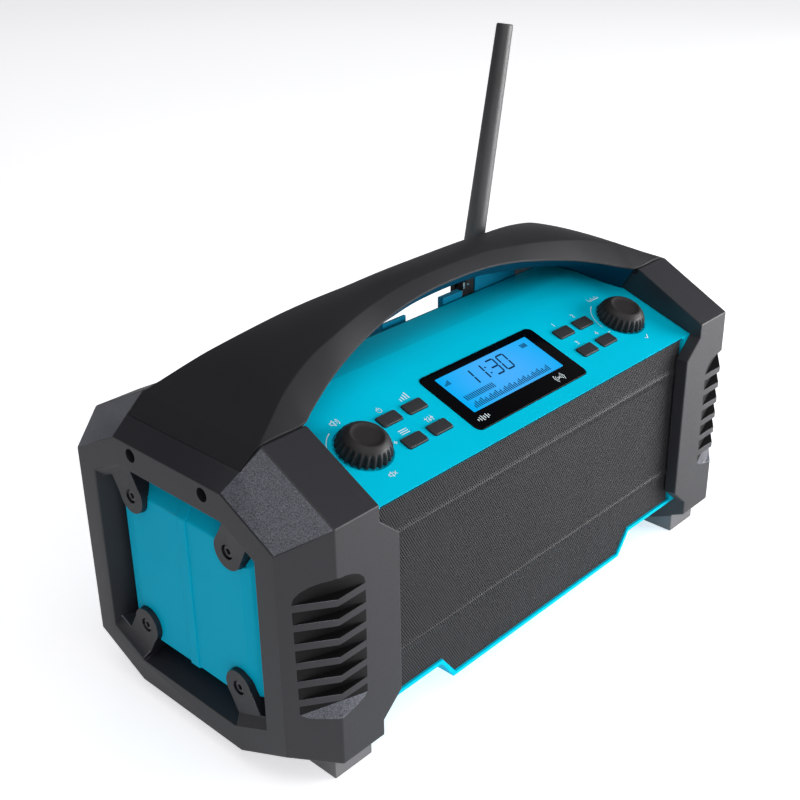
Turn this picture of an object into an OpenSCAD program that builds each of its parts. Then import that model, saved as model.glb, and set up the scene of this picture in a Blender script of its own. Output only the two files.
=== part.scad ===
// Jobsite radio: a portable radio with heavy end bumpers, an arched carry
// handle, a sloping control panel, a perforated front grille and a folding aerial.
// Millimetres. Origin: middle of the footprint at floor level. +Z up, the front
// faces -Y, the left end is at -X.

/* [Overall] */
// Overall width over the end bumpers
overall_w = 340; // [336:1:346]
// Overall depth over the bumper faces
overall_d = 162.8; // [162:0.2:164]
// Height of the top of the end bumpers above the floor
bumper_top = 155.2; // [155:0.1:156]

/* [Control panel] */
// Slope of the control panel, degrees
panel_slope = 19; // [18.8:0.1:19.2]
// Push travel of the eight buttons
button_travel = 0.8; // [0.5:0.1:0.9]
// How far the button caps stand above the panel
button_proud = 0.9; // [0.9:0.1:1.4]
// Diameter of the knobs at their foot
knob_d = 26.8; // [24:0.2:27.4]
// Height of the knobs above the panel
knob_h = 8.8; // [8.6:0.2:12]
// Number of grip flutes round each knob
knob_flutes = 24; // [12:1:24]

/* [Handle] */
// Height of the handle ridge at mid width
handle_top = 185; // [184:0.5:190]

/* [Aerial] */
// Length of the aerial from its pivot to the tip
aerial_len = 136; // [100:1:138]
// Diameter of the aerial at its tip
aerial_tip_d = 8.6; // [6:0.2:9]
// Lean of the aerial to the right of upright, degrees
aerial_lean = 11.5; // [0:0.5:15]

/* [Speakers] */
// Outside diameter of each loudspeaker frame
speaker_d = 84; // [70:1:86]
// Distance of each loudspeaker from the middle
speaker_x = 58; // [52:1:58]

/* [Rear door] */
// Width of the rear door
door_w = 105; // [100:1:105]
// Clearance between the door and its rebate
door_gap = 0.6; // [0.4:0.1:1]

/* [Hidden] */
$fn = 64;

// main stations
hw = overall_w / 2;            // outer face of a bumper
fy = overall_d / 2;            // front face of a bumper
x_str = hw - 20.6;             // where the bumper starts to taper
x_in = hw - 45.7;              // inner edge of a bumper
x_fl = hw - 57.3;              // inner edge of the front flange
case_hx = hw - 24;             // half length of the case
py0 = -(fy - 7.1);             // front edge of the control panel
pz0 = 126.6;
cp = cos(panel_slope);
sp = sin(panel_slope);
py1 = py0 + 71 * cp;           // crease behind the panel
deck_z = pz0 + 71 * sp;
seam_y = 17.2;                 // joint between the two case halves
case_fy = -70;                 // front wall of the case, behind the grille
case_ry = 70;                  // rear wall of the case
case_bz = 22.6;                // underside of the case
wall = 3;
grille_y = -73.4;              // face of the grille
sill_z = 10.3;                 // underside of the middle sill

// aerial pivot
ap = [60.4, 28.5, 151.5];

// ---------- helpers ----------
// prism from an outline in (y, z), running along x
module xprism(pts, x0, x1) {
  translate([x0, 0, 0]) rotate([90, 0, 90]) linear_extrude(x1 - x0) polygon(pts);
}
// prism from an outline in (x, z), running along y
module yprism(pts, y0, y1) {
  translate([0, y1, 0]) rotate([90, 0, 0]) linear_extrude(y1 - y0) polygon(pts);
}
module box(a, b) { translate(a) cube([b[0] - a[0], b[1] - a[1], b[2] - a[2]]); }
// cylinder along x / y
module xcyl(r, x0, x1, y, z) { translate([x0, y, z]) rotate([0, 90, 0]) cylinder(r = r, h = x1 - x0); }
module ycyl(r, x, z, y0, y1) { translate([x, y1, z]) rotate([90, 0, 0]) cylinder(r = r, h = y1 - y0); }
// child placed on the control panel: x across, s up the slope, local z outward
module on_panel(x, s) {
  translate([x, py0 + s * cp, pz0 + s * sp]) rotate([panel_slope, 0, 0]) children();
}
// closed solid through a list of sections of equal point count;
// caps splits a hollow-backed end section into convex pieces
module loft(secs, caps = []) {
  n = len(secs[0]);
  m = len(secs);
  ends = len(caps) > 0 ? caps : [[for (i = [0:n - 1]) i]];
  polyhedron(
    points = [for (s = secs) for (p = s) p],
    faces = concat(
      ends,
      [for (k = [0:m - 2]) for (i = [0:n - 1]) let (a = k * n + i, b = k * n + (i + 1) % n)
        for (t = [[a, a + n, b], [b, a + n, b + n]]) t],
      [for (c = ends) [for (i = [len(c) - 1:-1:0]) (m - 1) * n + c[i]]]),
    convexity = 6);
}
function rev(s) = [for (i = [len(s) - 1:-1:0]) s[i]];
module rrect(w, h, r) {
  union() {
    square([w - 2 * r, h], center = true);
    square([w, h - 2 * r], center = true);
    for (sx = [-1, 1]) for (sy = [-1, 1]) translate([sx * (w / 2 - r), sy * (h / 2 - r)]) circle(r);
  }
}

// ---------- outlines ----------
// bumper octagon at a distance o outside the outer end face outline
function oct(o) = let (t = bumper_top - 14) [
  [67.4 + o, 125.1 + 0.607 * o], [36.8 + 0.25 * o, t + o],
  [-36.8 - 0.25 * o, t + o], [-67.4 - o, 125.1 + 0.607 * o],
  [-67.4 - o, 23.7 - 0.629 * o], [-36.2 - 0.229 * o, 8.8 - o],
  [36.2 + 0.229 * o, 8.8 - o], [67.4 + o, 23.7 - 0.629 * o]];
o_str = fy - 67.4;
// window in the outer end of a bumper, grown by o
function window(o) = [
  [55.4 + o, 117.5 + 0.6 * o], [35.4 + 0.2 * o, 127.5 + o],
  [-35.4 - 0.2 * o, 127.5 + o], [-55.4 - o, 117.5 + 0.6 * o],
  [-55.4 - o, 31 - 0.6 * o], [-33 - 0.1 * o, 21.2 - o],
  [33 + 0.1 * o, 21.2 - o], [55.4 + o, 31 - 0.6 * o]];
// case cross-section in (y, z), grown by o
function case_prof(o) = [
  [py0 - o, pz0 + 0.7 * o], [py1 - 0.2 * o, deck_z + o], [seam_y, 148.6 + o],
  [64 + 0.4 * o, 117 + 0.9 * o], [case_ry + o, 113 + 0.5 * o], [case_ry + o, 25.5],
  [66, case_bz - o], [py0 - o, case_bz - o]];
// hollow inside the case
case_in = [
  [case_fy + wall, 125.6], [py1 + 0.5, deck_z - 3.2], [seam_y, 145],
  [62.5, 114.4], [case_ry - wall, 111.4], [case_ry - wall, 27.4],
  [64.6, case_bz + wall], [case_fy + wall, case_bz + wall]];
// screw places on the bumper ends, (y, z)
cover_pts = [[33.6, 110.5], [-33.6, 110.5], [33.6, 40], [-33.6, 40]];
bump_pts = [[24.6, 136], [-24.6, 136]];
case_pts = [[106, 42], [106, 100], [-106, 42], [-106, 100]];

// ---------- case ----------
module case_body() {
  difference() {
    union() {
      difference() {
        xprism(case_prof(0), -case_hx, case_hx);
        xprism(case_in, -case_hx + wall, case_hx - wall);
        // rebate that holds the grille
        box([-119, -90, 24.8], [119, case_fy, 125.6]);
      }
      // middle sill that drops below the case
      difference() {
        yprism([[-79.6, 24.9], [-69.3, sill_z], [69.3, sill_z], [79.6, 24.9]], py0, 66);
        yprism([[-76.4, 26], [-67.4, sill_z + 2.6], [67.4, sill_z + 2.6], [76.4, 26]], case_fy + wall, 63.4);
      }
      // end bosses for the bumper and cover screws
      for (s = [-1, 1]) for (p = concat(cover_pts, bump_pts))
        xcyl(4.4, s > 0 ? case_hx - 13 : -case_hx + 1, s > 0 ? case_hx - 1 : -case_hx + 13, p[0], p[1]);
    }
    // the sill opens into the case
    yprism([[-76, 24], [-75, 27.2], [75, 27.2], [76, 24]], case_fy + wall, 63.4);
    // seat of the grille on the sill
    yprism([[-77.4, 25.2], [-67.6, 12.4], [67.6, 12.4], [77.4, 25.2]], -90, case_fy);
    for (s = [-1, 1]) for (p = concat(cover_pts, bump_pts))
      xcyl(1.55, s > 0 ? case_hx - 12 : -case_hx - 1, s > 0 ? case_hx + 1 : -case_hx + 12, p[0], p[1]);
  }
}
module front_case() {
  color([0.05, 0.70, 0.82]) difference() {
    union() {
      difference() {
        case_body();
        box([-200, seam_y - 0.5, 0], [200, 200, 220]);
      }
      for (p = case_pts) ycyl(4.6, p[0], p[1], case_fy + 1, seam_y - 0.7);
    }
    for (p = case_pts) ycyl(1.6, p[0], p[1], -6, seam_y);
    // loudspeaker openings
    for (s = [-1, 1]) ycyl(36, s * speaker_x, 75, case_fy - 1, case_fy + wall + 1);
    // display recess and window
    on_panel(0, 29.5) {
      translate([0, 0, -2.1]) linear_extrude(6) rrect(85.8, 41.8, 3.8);
      translate([-0.5, 2.8, -8]) linear_extrude(12) square([71, 28.4], center = true);
    }
    // knob wells and shaft holes
    for (s = [-1, 1]) on_panel(s * 98.3, 29.5) {
      translate([0, 0, -1.4]) cylinder(r = knob_d / 2 + 0.7, h = 8);
      translate([0, 0, -8]) cylinder(r = 4.8, h = 12);
    }
    // button holes
    for (x = [57.3, 74.1]) for (s = [21.1, 37.4]) for (m = [-1, 1])
      on_panel(m * x, s) translate([0, 0, -8]) linear_extrude(12) rrect(13.1, 7.4, 1.4);
  }
}
module rear_case() {
  color([0.04, 0.52, 0.66]) difference() {
    union() {
      difference() {
        case_body();
        box([-200, -200, 0], [200, seam_y + 0.5, 220]);
      }
      for (p = case_pts) ycyl(4.6, p[0], p[1], seam_y + 0.7, case_ry - 1);
      // battery bay and the frame round its mouth
      box([-52, 30, 30], [52, case_ry - 1, 106]);
      box([-57, 63.5, 26], [57, case_ry - 1, 110]);
      // block behind the sockets
      box([-101, 61, 36], [-63, case_ry - 1, 64]);
      // seat under the aerial bracket
      box([50.6, 21, 131], [72.8, 37.4, 139.2]);
      // hinge knuckles for the door
      for (z = [44, 80]) {
        translate([-56.2, 73.7, z]) cylinder(r = 3.4, h = 12);
        box([-59.6, case_ry - 1, z], [-56.2, 73.7, z + 12]);
      }
    }
    for (p = case_pts) {
      ycyl(1.9, p[0], p[1], 0, 80);
      ycyl(3.9, p[0], p[1], 64, 80);
    }
    // battery bay hollow and door rebate
    box([-49.5, 32.5, 32.5], [49.5, 90, 103.5]);
    box([-door_w / 2 - 0.3, 67, 29], [door_w / 2 + 0.3, 90, 107]);
    // socket recess and its three openings
    box([-98, 65, 40], [-66, 90, 60]);
    ycyl(3.4, -91.5, 50, 50, 80);
    ycyl(2.7, -82, 50, 50, 80);
    box([-77, 50, 46.8], [-69, 80, 53.2]);
    // bore for the hinge pin
    translate([-56.2, 73.7, 40]) cylinder(r = 1.55, h = 60);
    // pockets under the bracket and behind it
    box([52.6, 21.8, 137.2], [70.8, 35.9, 150]);
  }
}
// low rail and taller guard beside the foot of the aerial, on the slope of the case
module aerial_rail() {
  color([0.04, 0.52, 0.66]) difference() {
    union() {
      box([26.7, seam_y + 0.5, 140], [42.3, 21.5, 152.1]);
      box([53, seam_y + 0.5, 140], [88, 21.5, 157.2]);
      box([72, 21, 132], [88, 33, 153]);
    }
    xprism(case_prof(0.12), 0, 100);
  }
}
// saddle under the folded aerial
module aerial_clip() {
  color([0.04, 0.52, 0.66]) difference() {
    xprism([[21, 140], [21, 149.6], [22.6, 149.6], [24.2, 146.6], [28.5, 145.9], [33, 142.8], [33, 134]], -16, 1.6);
    xprism(case_prof(0.12), -20, 5);
  }
}
module case_seal() {
  color([0.05, 0.05, 0.05]) {
    difference() {
      box([-case_hx + 0.5, seam_y - 0.45, case_bz + 0.5], [case_hx - 0.5, seam_y + 0.45, 148.1]);
      box([-case_hx + 2.6, 0, case_bz + 2.6], [case_hx - 2.6, 40, 145.8]);
      box([-75.5, 0, 0], [75.5, 40, 60]);
    }
  }
}

// ---------- bumpers ----------
function top_z(x) = x <= x_str ? bumper_top : bumper_top - (x - x_str) * 14 / 20.6;
module pocket(m) {
  // hollow across a front corner, arched at its top and scooped at its foot,
  // with six fins left in it
  c = [x_str, -fy];
  u = [31.6, 10.6] / norm([31.6, 10.6]) * 2;
  st = concat([for (t = [84, 70, 54, 36, 18]) [47 - 6.4 * sin(t), cos(t)]], [for (t = [0, 18, 36, 54, 70, 84]) [101 + 9.3 * sin(t), cos(t)]]);
  mirror([0, m, 0]) difference() {
    loft([for (q = st) let (a = c - q[1] * [16, 0] - u, b = c + q[1] * [15.6, 10.6] + u)
      [[hw - 42, -fy - 13, q[0]], [hw + 8, -fy - 3, q[0]], [b[0], b[1], q[0]], [a[0], a[1], q[0]]]]);
    for (k = [0:5]) box([hw - 44, -fy - 15, 49.6 + 9.55 * k], [hw + 10, -60, 53 + 9.55 * k]);
  }
}
module lug(p, r, x0, x1) {
  // round tab with a web that runs out to the nearest corner of the window
  sy = p[0] > 0 ? 1 : -1;
  sz = p[1] > 75 ? 1 : -1;
  d = [sy * 0.49, sz * 0.87];
  n = [-d[1], d[0]] * (r - 0.3) * sy * sz;
  xcyl(r, x0, x1, p[0], p[1]);
  xprism([p - n, p - n + 22 * d, p + n + 22 * d, p + n], x0, x1);
}
// bevel that joins the two lugs of one side (sz 1 above, -1 below) to the corner
module lug_foot(sz) {
  p = sz > 0 ? cover_pts[0] : cover_pts[2];
  d = [0.49, sz * 0.87];
  q0 = p - 8.2 * [0.87, -sz * 0.49];
  a = window(0)[sz > 0 ? 0 : 7];
  b = window(0)[sz > 0 ? 1 : 6];
  e = (a - b) / norm(a - b);
  nn = sz > 0 ? [e[1], -e[0]] : [-e[1], e[0]];
  st = [for (q = [[hw - 21, 4.4], [hw - 3.5, 4.4], [hw + 1.5, -1.886]])
    let (t = (q[1] - (q0 - b) * nn) / (d * nn), f = q0 + t * d, g = b + q[1] * nn + 32 * e)
      [for (v = [f, g, g - 12 * nn, f - 12 * nn]) [q[0], v[0], v[1]]]];
  for (m = [0, 1]) mirror([0, m, 0]) loft(sz > 0 ? st : [for (v = st) rev(v)]);
}
module right_bumper_body() {
  difference() {
    union() {
      loft([[for (p = oct(o_str)) [x_in, p[0], p[1]]],
            [for (p = oct(o_str)) [x_str, p[0], p[1]]],
            [for (p = oct(0)) [hw, p[0], p[1]]]]);
      for (m = [0, 1]) mirror([0, m, 0])
        yprism([[x_in + 2, 125.9], [x_in, 125.9], [x_fl, 115.5], [x_fl, 33.6], [x_in, 23], [x_in + 2, 23]], -fy, py0 - 0.3);
    }
    // flat underside between the feet
    box([100, -100, -20], [200, 100, 1.8]);
    // room for the end of the case
    xprism(case_prof(0.3), x_fl - 5, case_hx + 0.3);
    xprism([[fy - 7.4, 112], [fy - 7.4, 24], [0, 24], [0, 112]], x_fl - 5, case_hx + 0.3);
    // hollow under the case
    box([x_in + 3.4, -60, 7], [case_hx, 60, 30]);
    // seat of the side cover and the window
    xprism(window(3.3), case_hx - 1, hw - 18.2);
    difference() {
      loft([for (q = [[hw - 20, -5.3], [hw + 1, 0.265]]) [for (p = window(q[1])) [q[0], p[0], p[1]]]]);
      for (p = cover_pts) lug(p, 8.5, hw - 10.5, hw - 3.5);
      for (sz = [-1, 1]) lug_foot(sz);
    }
    // screw holes
    for (p = cover_pts) {
      xcyl(1.9, 140, 200, p[0], p[1]);
      xcyl(3.5, hw - 6.5, 200, p[0], p[1]);
    }
    for (p = bump_pts) {
      xcyl(1.9, 140, 200, p[0], p[1]);
      xcyl(3.25, hw - 6, 200, p[0], p[1]);
    }
    // seat for the foot of the handle
    yprism([[x_in - 1, bumper_top - 3], [x_str, bumper_top - 3], [hw - 9.8, top_z(hw - 9.8) - 3],
            [hw - 9.8, 170], [x_in - 1, 170]], -38.6, 38.6);
    // handle screw holes
    for (y = [-27, 27]) {
      translate([hw - 36, y, 130]) cylinder(r = 1.8, h = 40);
      translate([hw - 36, y, 130]) cylinder(r = 3.3, h = 19.3);
    }
    // finned corner pockets
    for (m = [0, 1]) pocket(m);
  }
}
module right_bumper() { color([0.16, 0.16, 0.17]) right_bumper_body(); }
module left_bumper() { color([0.16, 0.16, 0.17]) mirror([1, 0, 0]) right_bumper_body(); }
// raised block of a side cover: half width w, foot b, top t, with cut corners
function blk(x, w, b, t) = [for (p = [[w, t - 8], [w - 16, t], [16 - w, t], [-w, t - 8], [-w, b + 6], [13 - w, b], [w - 13, b], [w, b + 6]]) [x, p[0], p[1]]];
module side_cover_body() {
  difference() {
    union() {
      xprism(window(3), case_hx + 0.3, hw - 18.5);
      // rounded off towards both sides, bevelled along the top
      loft([blk(hw - 19, 49.6, 32, 121.8), blk(hw - 12.6, 49.6, 32.4, 121), blk(hw - 9.4, 48.2, 32.7, 116.4),
            blk(hw - 6.9, 44, 33, 112.9), blk(hw - 6, 38, 33.3, 111.6)]);
      // upright rib
      yprism([[hw - 10, 33], [hw - 5.2, 33], [hw - 5.2, 112], [hw - 11.7, 121.3], [hw - 15, 121.3]], -3.1, 3.1);
    }
    // hollow back
    xprism([[26, 100], [-26, 100], [-26, 50], [26, 50]], case_hx - 1, hw - 9);
    // notches round the lugs of the bumper
    for (p = cover_pts) lug(p, 8.95, hw - 10.9, hw + 2);
    for (p = cover_pts) xcyl(1.9, 140, 200, p[0], p[1]);
    for (p = bump_pts) xcyl(1.9, 140, 200, p[0], p[1]);
  }
}
module right_side_cover() { color([0.03, 0.50, 0.62]) side_cover_body(); }
module left_side_cover() { color([0.03, 0.50, 0.62]) mirror([1, 0, 0]) side_cover_body(); }

// ---------- screws ----------
module hex_screw(r, head_r, head_h, length) {
  // head from z 0 to head_h, shank below
  difference() {
    union() {
      cylinder(r = head_r, h = head_h);
      translate([0, 0, -length]) cylinder(r = r, h = length + 0.1);
    }
    translate([0, 0, head_h - 1.6]) cylinder(r = head_r * 0.52, h = 3, $fn = 6);
  }
}
module cover_screws() {
  color([0.45, 0.45, 0.46]) for (s = [0, 1]) mirror([s, 0, 0]) for (p = cover_pts)
    translate([hw - 6.4, p[0], p[1]]) rotate([0, 90, 0]) hex_screw(1.5, 3, 2.2, 27);
}
module bumper_screws() {
  color([0.10, 0.10, 0.10]) for (s = [0, 1]) mirror([s, 0, 0]) for (p = bump_pts)
    translate([hw - 5.9, p[0], p[1]]) rotate([0, 90, 0]) hex_screw(1.5, 2.9, 2.2, 28);
}
module case_screws() {
  color([0.35, 0.35, 0.36]) for (p = case_pts)
    translate([p[0], 64.1, p[1]]) rotate([-90, 0, 0]) hex_screw(1.55, 3.4, 2.4, 66);
}
module handle_screws() {
  color([0.35, 0.35, 0.36]) for (s = [-1, 1]) for (y = [-27, 27])
    translate([s * (hw - 36), y, 149.2]) rotate([180, 0, 0]) hex_screw(1.5, 3, 2.2, 8.6);
}

// ---------- handle ----------
// smooth curve through a table of [x, value] knots
function slope(T, i) = let (a = max(i - 1, 0), b = min(i + 1, len(T) - 1)) (T[b][1] - T[a][1]) / (T[b][0] - T[a][0]);
function seg(T, x, i = 0) = i >= len(T) - 2 || x < T[i + 1][0] ? i : seg(T, x, i + 1);
function smooth(x, T) = let (i = seg(T, x), h = T[i + 1][0] - T[i][0], t = (x - T[i][0]) / h, m0 = i == 0 ? 0 : slope(T, i) * h, m1 = slope(T, i + 1) * h)
  (2 * t * t * t - 3 * t * t + 1) * T[i][1] + (t * t * t - 2 * t * t + t) * m0 + (-2 * t * t * t + 3 * t * t) * T[i + 1][1] + (t * t * t - t * t) * m1;
// half width and height of the ridge, half width and height of the lower edge
function l_yr(x) = smooth(x, [[0, 9.4], [30, 9.5], [50, 10.9], [66, 13.2], [84, 16.6], [104, 20], [124, 26.6], [141, 34.2], [150, 37.6], [160, 38]]);
function l_zr(x) = handle_top - smooth(x, [[0, 0], [30, 1], [50, 3], [66, 4.8], [84, 7.5], [104, 12.1], [124, 18.3], [141, 26], [150, 30.2], [160, 36.9]]) * (handle_top - 148.3) / 36.7;
// how much farther back and higher the rear ridge runs than the front one
function r_dy(x) = smooth(x, [[0, 0], [30, 0.4], [66, 1.2], [84, 1.7], [104, 2.7], [118, 3.2], [130, 2.7], [141, 1.4], [150, 0.7], [160, 0]]);
function r_dz(x) = smooth(x, [[0, 0.2], [30, 0.8], [66, 1.3], [84, 1], [104, 1], [118, 0.4], [130, 0.2], [141, 0.6], [150, 0.7], [160, 0]]);
function l_yf(x) = smooth(x, [[0, 14.5], [22, 14.8], [43, 16.2], [62, 18.6], [82, 23], [100, 28.3], [116, 34.2], [124, 37.8], [142, 38.2], [160, 38.3]]);
function l_zf(x) = smooth(x, [[0, 179.5], [22, 178.8], [43, 176.5], [62, 172.9], [82, 168.6], [100, 163.5], [116, 158], [124, 155.9], [149, 155.3], [160, 148.1]]);
function cr(x) = smooth(x, [[0, 2], [80, 1.9], [120, 1.5], [150, 0.4], [160, 0.15]]);
// thickness below the lower edge: a lip over the middle, a plug in the bumpers
function l_zb(x) = x < x_in + 0.3 ? l_zf(x) - 0.8 : top_z(x) - 2.8;
function cover_sec(x) = let (a = abs(x), yr = l_yr(a), zf = l_zf(a), zr = max(l_zr(a), zf + 0.02), yf = max(l_yf(a), yr + 0.1), y2 = yr + r_dy(a), z2 = zr + r_dz(a), zb = l_zb(a), zi = max(zr - 2.6, zb + 0.3), c = cr(a)) [
  [x, -yf, zb], [x, -yf, zf], [x, -yr, zr], [x, 0, zr + c], [x, y2, z2], [x, max(yf, y2 + 0.1), zf], [x, max(yf, y2 + 0.1), zb],
  [x, yf - 2.6, zb], [x, yr - 1.2, zi], [x, 0, zi + c * 0.8], [x, -yr + 1.2, zi], [x, -yf + 2.6, zb]];
module handle_cover() {
  // closer stations at the inner edges of the bumpers
  st = [for (x = [-hw + 10, -154, -149, -142, -136, -130, -(x_in + 0.4), -(x_in + 0.2), -118, -111, -104, -97, -90, -82, -74, -66, -58, -50, -42, -33, -22, -11, 0,
    11, 22, 33, 42, 50, 58, 66, 74, 82, 90, 97, 104, 111, 118, x_in + 0.2, x_in + 0.4, 130, 136, 142, 149, 154, hw - 10]) x];
  color([0.15, 0.15, 0.16]) difference() {
    union() {
      loft([for (x = st) rev(cover_sec(x))], [[10, 11, 0], [0, 1, 9, 10], [1, 2, 8, 9], [2, 3, 7, 8], [3, 4, 6, 7], [4, 5, 6]]);
      for (s = [-1, 1]) for (y = [-27, 27]) translate([s * (hw - 36), y, bumper_top - 2.8]) cylinder(r = 3.4, h = 8.4, $fn = 24);
    }
    for (s = [-1, 1]) for (y = [-27, 27]) translate([s * (hw - 36), y, 150]) cylinder(r = 1.55, h = 8.6);
  }
}
function n_zb(x) = smooth(x, [[0, 173], [25, 172], [41, 169.4], [62, 165.8], [84, 161], [98, 156.6], [108, 151.6], [118, 144.8], [124, 139.5]]);
function n_yb(x) = smooth(x, [[0, 9], [60, 9.2], [84, 9.8], [98, 11.5], [108, 15], [118, 22], [124, 29]]);
function liner_sec(x) = let (a = abs(x), y0 = l_yf(a) - 0.4, z0 = l_zf(a) - 1, yb = min(n_yb(a), y0 - 2), zb = n_zb(a)) [
  [x, -y0, z0], [x, -y0 + 2.4, z0], [x, -yb + 1, zb + 2.6], [x, yb - 1, zb + 2.6], [x, y0 - 2.4, z0], [x, y0, z0], [x, yb, zb], [x, -yb, zb]];
module handle_liner() {
  st = [-x_in + 0.4, -121, -118, -114, -109, -104, -98, -91, -84, -76, -68, -60, -52, -44, -36, -28, -20, -10, 0,
    10, 20, 28, 36, 44, 52, 60, 68, 76, 84, 91, 98, 104, 109, 114, 118, 121, x_in - 0.4];
  color([0.04, 0.30, 0.40]) difference() {
    loft([for (x = st) rev(liner_sec(x))], [[5, 6, 7, 0], [0, 1, 4, 5], [1, 2, 3, 4]]);
    xprism(case_prof(0.3), -140, 140);
    box([80, seam_y - 0.2, 130], [88.4, 60, 153.4]);
  }
}

// ---------- feet ----------
module feet() {
  color([0.42, 0.43, 0.44]) for (sx = [0, 1]) mirror([sx, 0, 0]) for (sy = [0, 1]) mirror([0, sy, 0])
    xprism([[-73.6, 0], [-73.6, 11], [-54.2, 1.7], [-51.4, 1.7], [-51.4, 0]], x_in + 0.6, x_str - 1.6);
}

// ---------- grille ----------
module speaker_grille() {
  color([0.12, 0.12, 0.13]) union() {
    yprism([[-117, 125.3], [-117, 25.1], [-77.1, 25.1], [-67.4, 12.7], [67.4, 12.7], [77.1, 25.1], [117, 25.1], [117, 125.3]], grille_y, grille_y + 1.5);
    // folded ridges across the face
    for (z = [107.6, 45.4]) xprism([[grille_y + 0.2, z - 2.6], [grille_y - 0.7, z - 0.4], [grille_y - 0.7, z + 1.2], [grille_y + 0.2, z + 3]], -112, 112);
  }
}

// ---------- loudspeakers ----------
module at_speaker(s) {
  translate([s * speaker_x, case_fy + wall + 0.2, 75]) rotate([-90, 0, 0]) children();
}
module speaker_frame(s) {
  r = speaker_d / 2;
  color([0.30, 0.30, 0.31]) at_speaker(s) rotate_extrude()
    polygon([[36.4, 0], [r, 0], [r, 2], [37.6, 2], [26, 24], [26, 26], [13, 26], [13, 24], [24, 24], [35.4, 2.2]]);
}
module speaker_cone(s) {
  color([0.08, 0.08, 0.08]) at_speaker(s) rotate_extrude()
    polygon([[0, 12], [11, 14.6], [30.4, 1], [33, -0.6], [35.2, 0.6], [35.2, 1.8], [33, 1], [30.8, 2.4], [11.4, 16.4], [0, 13.6]]);
}
module speaker_magnet(s) {
  color([0.20, 0.20, 0.21]) at_speaker(s) union() {
    translate([0, 0, 26.1]) cylinder(r = 25, h = 4);
    translate([0, 0, 30]) cylinder(r = 22, h = 8);
    translate([0, 0, 18]) cylinder(r = 9, h = 9);
  }
}
module left_speaker_frame() speaker_frame(-1);
module left_speaker_cone() speaker_cone(-1);
module left_speaker_magnet() speaker_magnet(-1);
module right_speaker_frame() speaker_frame(1);
module right_speaker_cone() speaker_cone(1);
module right_speaker_magnet() speaker_magnet(1);

// ---------- display ----------
module display_lens() {
  color([0.03, 0.03, 0.04]) on_panel(0, 29.5) translate([0, 0, -2]) linear_extrude(2.4) rrect(85.2, 41.2, 3.5);
}
module lcd_module() {
  color([0.30, 0.60, 0.95]) on_panel(-0.5, 32.3) union() {
    translate([0, 0, -9.8]) linear_extrude(5.6) square([78, 35], center = true);
    translate([0, 0, -4.3]) linear_extrude(2) square([70, 27.4], center = true);
  }
}
module control_board() {
  color([0.05, 0.30, 0.15]) on_panel(0, 34) translate([0, 0, -12]) linear_extrude(1.6) square([224, 48], center = true);
}
module tact_switches() {
  color([0.6, 0.6, 0.6]) for (x = [57.3, 74.1]) for (s = [21.1, 37.4]) for (m = [-1, 1])
    on_panel(m * x, s) translate([0, 0, -10.3]) union() {
      linear_extrude(2.6) square([6, 6], center = true);
      cylinder(r = 1.7, h = 3.2);
    }
}

// ---------- knobs ----------
module encoder(s) {
  color([0.55, 0.55, 0.56]) on_panel(s * 98.3, 29.5) difference() {
    union() {
      translate([0, 0, -10.3]) linear_extrude(6.2) square([13, 13], center = true);
      translate([0, 0, -4.2]) cylinder(r = 4.4, h = 2.4);
    }
    translate([0, 0, -9.8]) cylinder(r = 3.05, h = 20);
  }
}
module shaft(s) {
  color([0.75, 0.75, 0.76]) on_panel(s * 98.3, 29.5) translate([0, 0, -8.8]) cylinder(r = 3, h = knob_h + 6.2);
}
module knob(s) {
  r = knob_d / 2;
  color([0.09, 0.08, 0.085]) on_panel(s * 98.3, 29.5) difference() {
    translate([0, 0, -0.5]) rotate_extrude() polygon([[3.05, 0], [4.9, 0], [4.9, 1.6], [r - 2.6, 1.6], [r - 2.6, 0], [r, 0], [r - 0.2, 1.4], [r - 1.3, 5.4],
      [r - 2, 8], [r - 2.5, knob_h + 0.1], [r - 3.4, knob_h + 0.5], [r - 4.1, knob_h + 0.5], [r - 5.2, knob_h - 0.6], [0, knob_h - 0.9], [0, knob_h - 1.7], [3.05, knob_h - 1.7]]);
    for (i = [0:knob_flutes - 1]) rotate([0, 0, i * 360 / knob_flutes])
      translate([r + 0.55, 0, -2]) cylinder(r = 1.25, h = 7, $fn = 16);
  }
}
module volume_encoder() encoder(-1);
module volume_shaft() shaft(-1);
module volume_knob() knob(-1);
module tuning_encoder() encoder(1);
module tuning_shaft() shaft(1);
module tuning_knob() knob(1);

// ---------- buttons ----------
module button(x, s) {
  color([0.10, 0.10, 0.11]) on_panel(x, s) union() {
    translate([0, 0, -3.4]) linear_extrude(3.4 + button_proud) rrect(12.5, 6.8, 1.2);
    translate([0, 0, -4.4]) linear_extrude(1.1) square([14.6, 8.9], center = true);
    translate([0, 0, -6]) cylinder(r = 1.5, h = 2);
  }
}
module power_button() button(-74.1, 37.4);
module mode_button() button(-57.3, 37.4);
module menu_button() button(-74.1, 21.1);
module sound_button() button(-57.3, 21.1);
module preset_button_1() button(57.3, 37.4);
module preset_button_2() button(74.1, 37.4);
module preset_button_3() button(57.3, 21.1);
module preset_button_4() button(74.1, 21.1);

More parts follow.
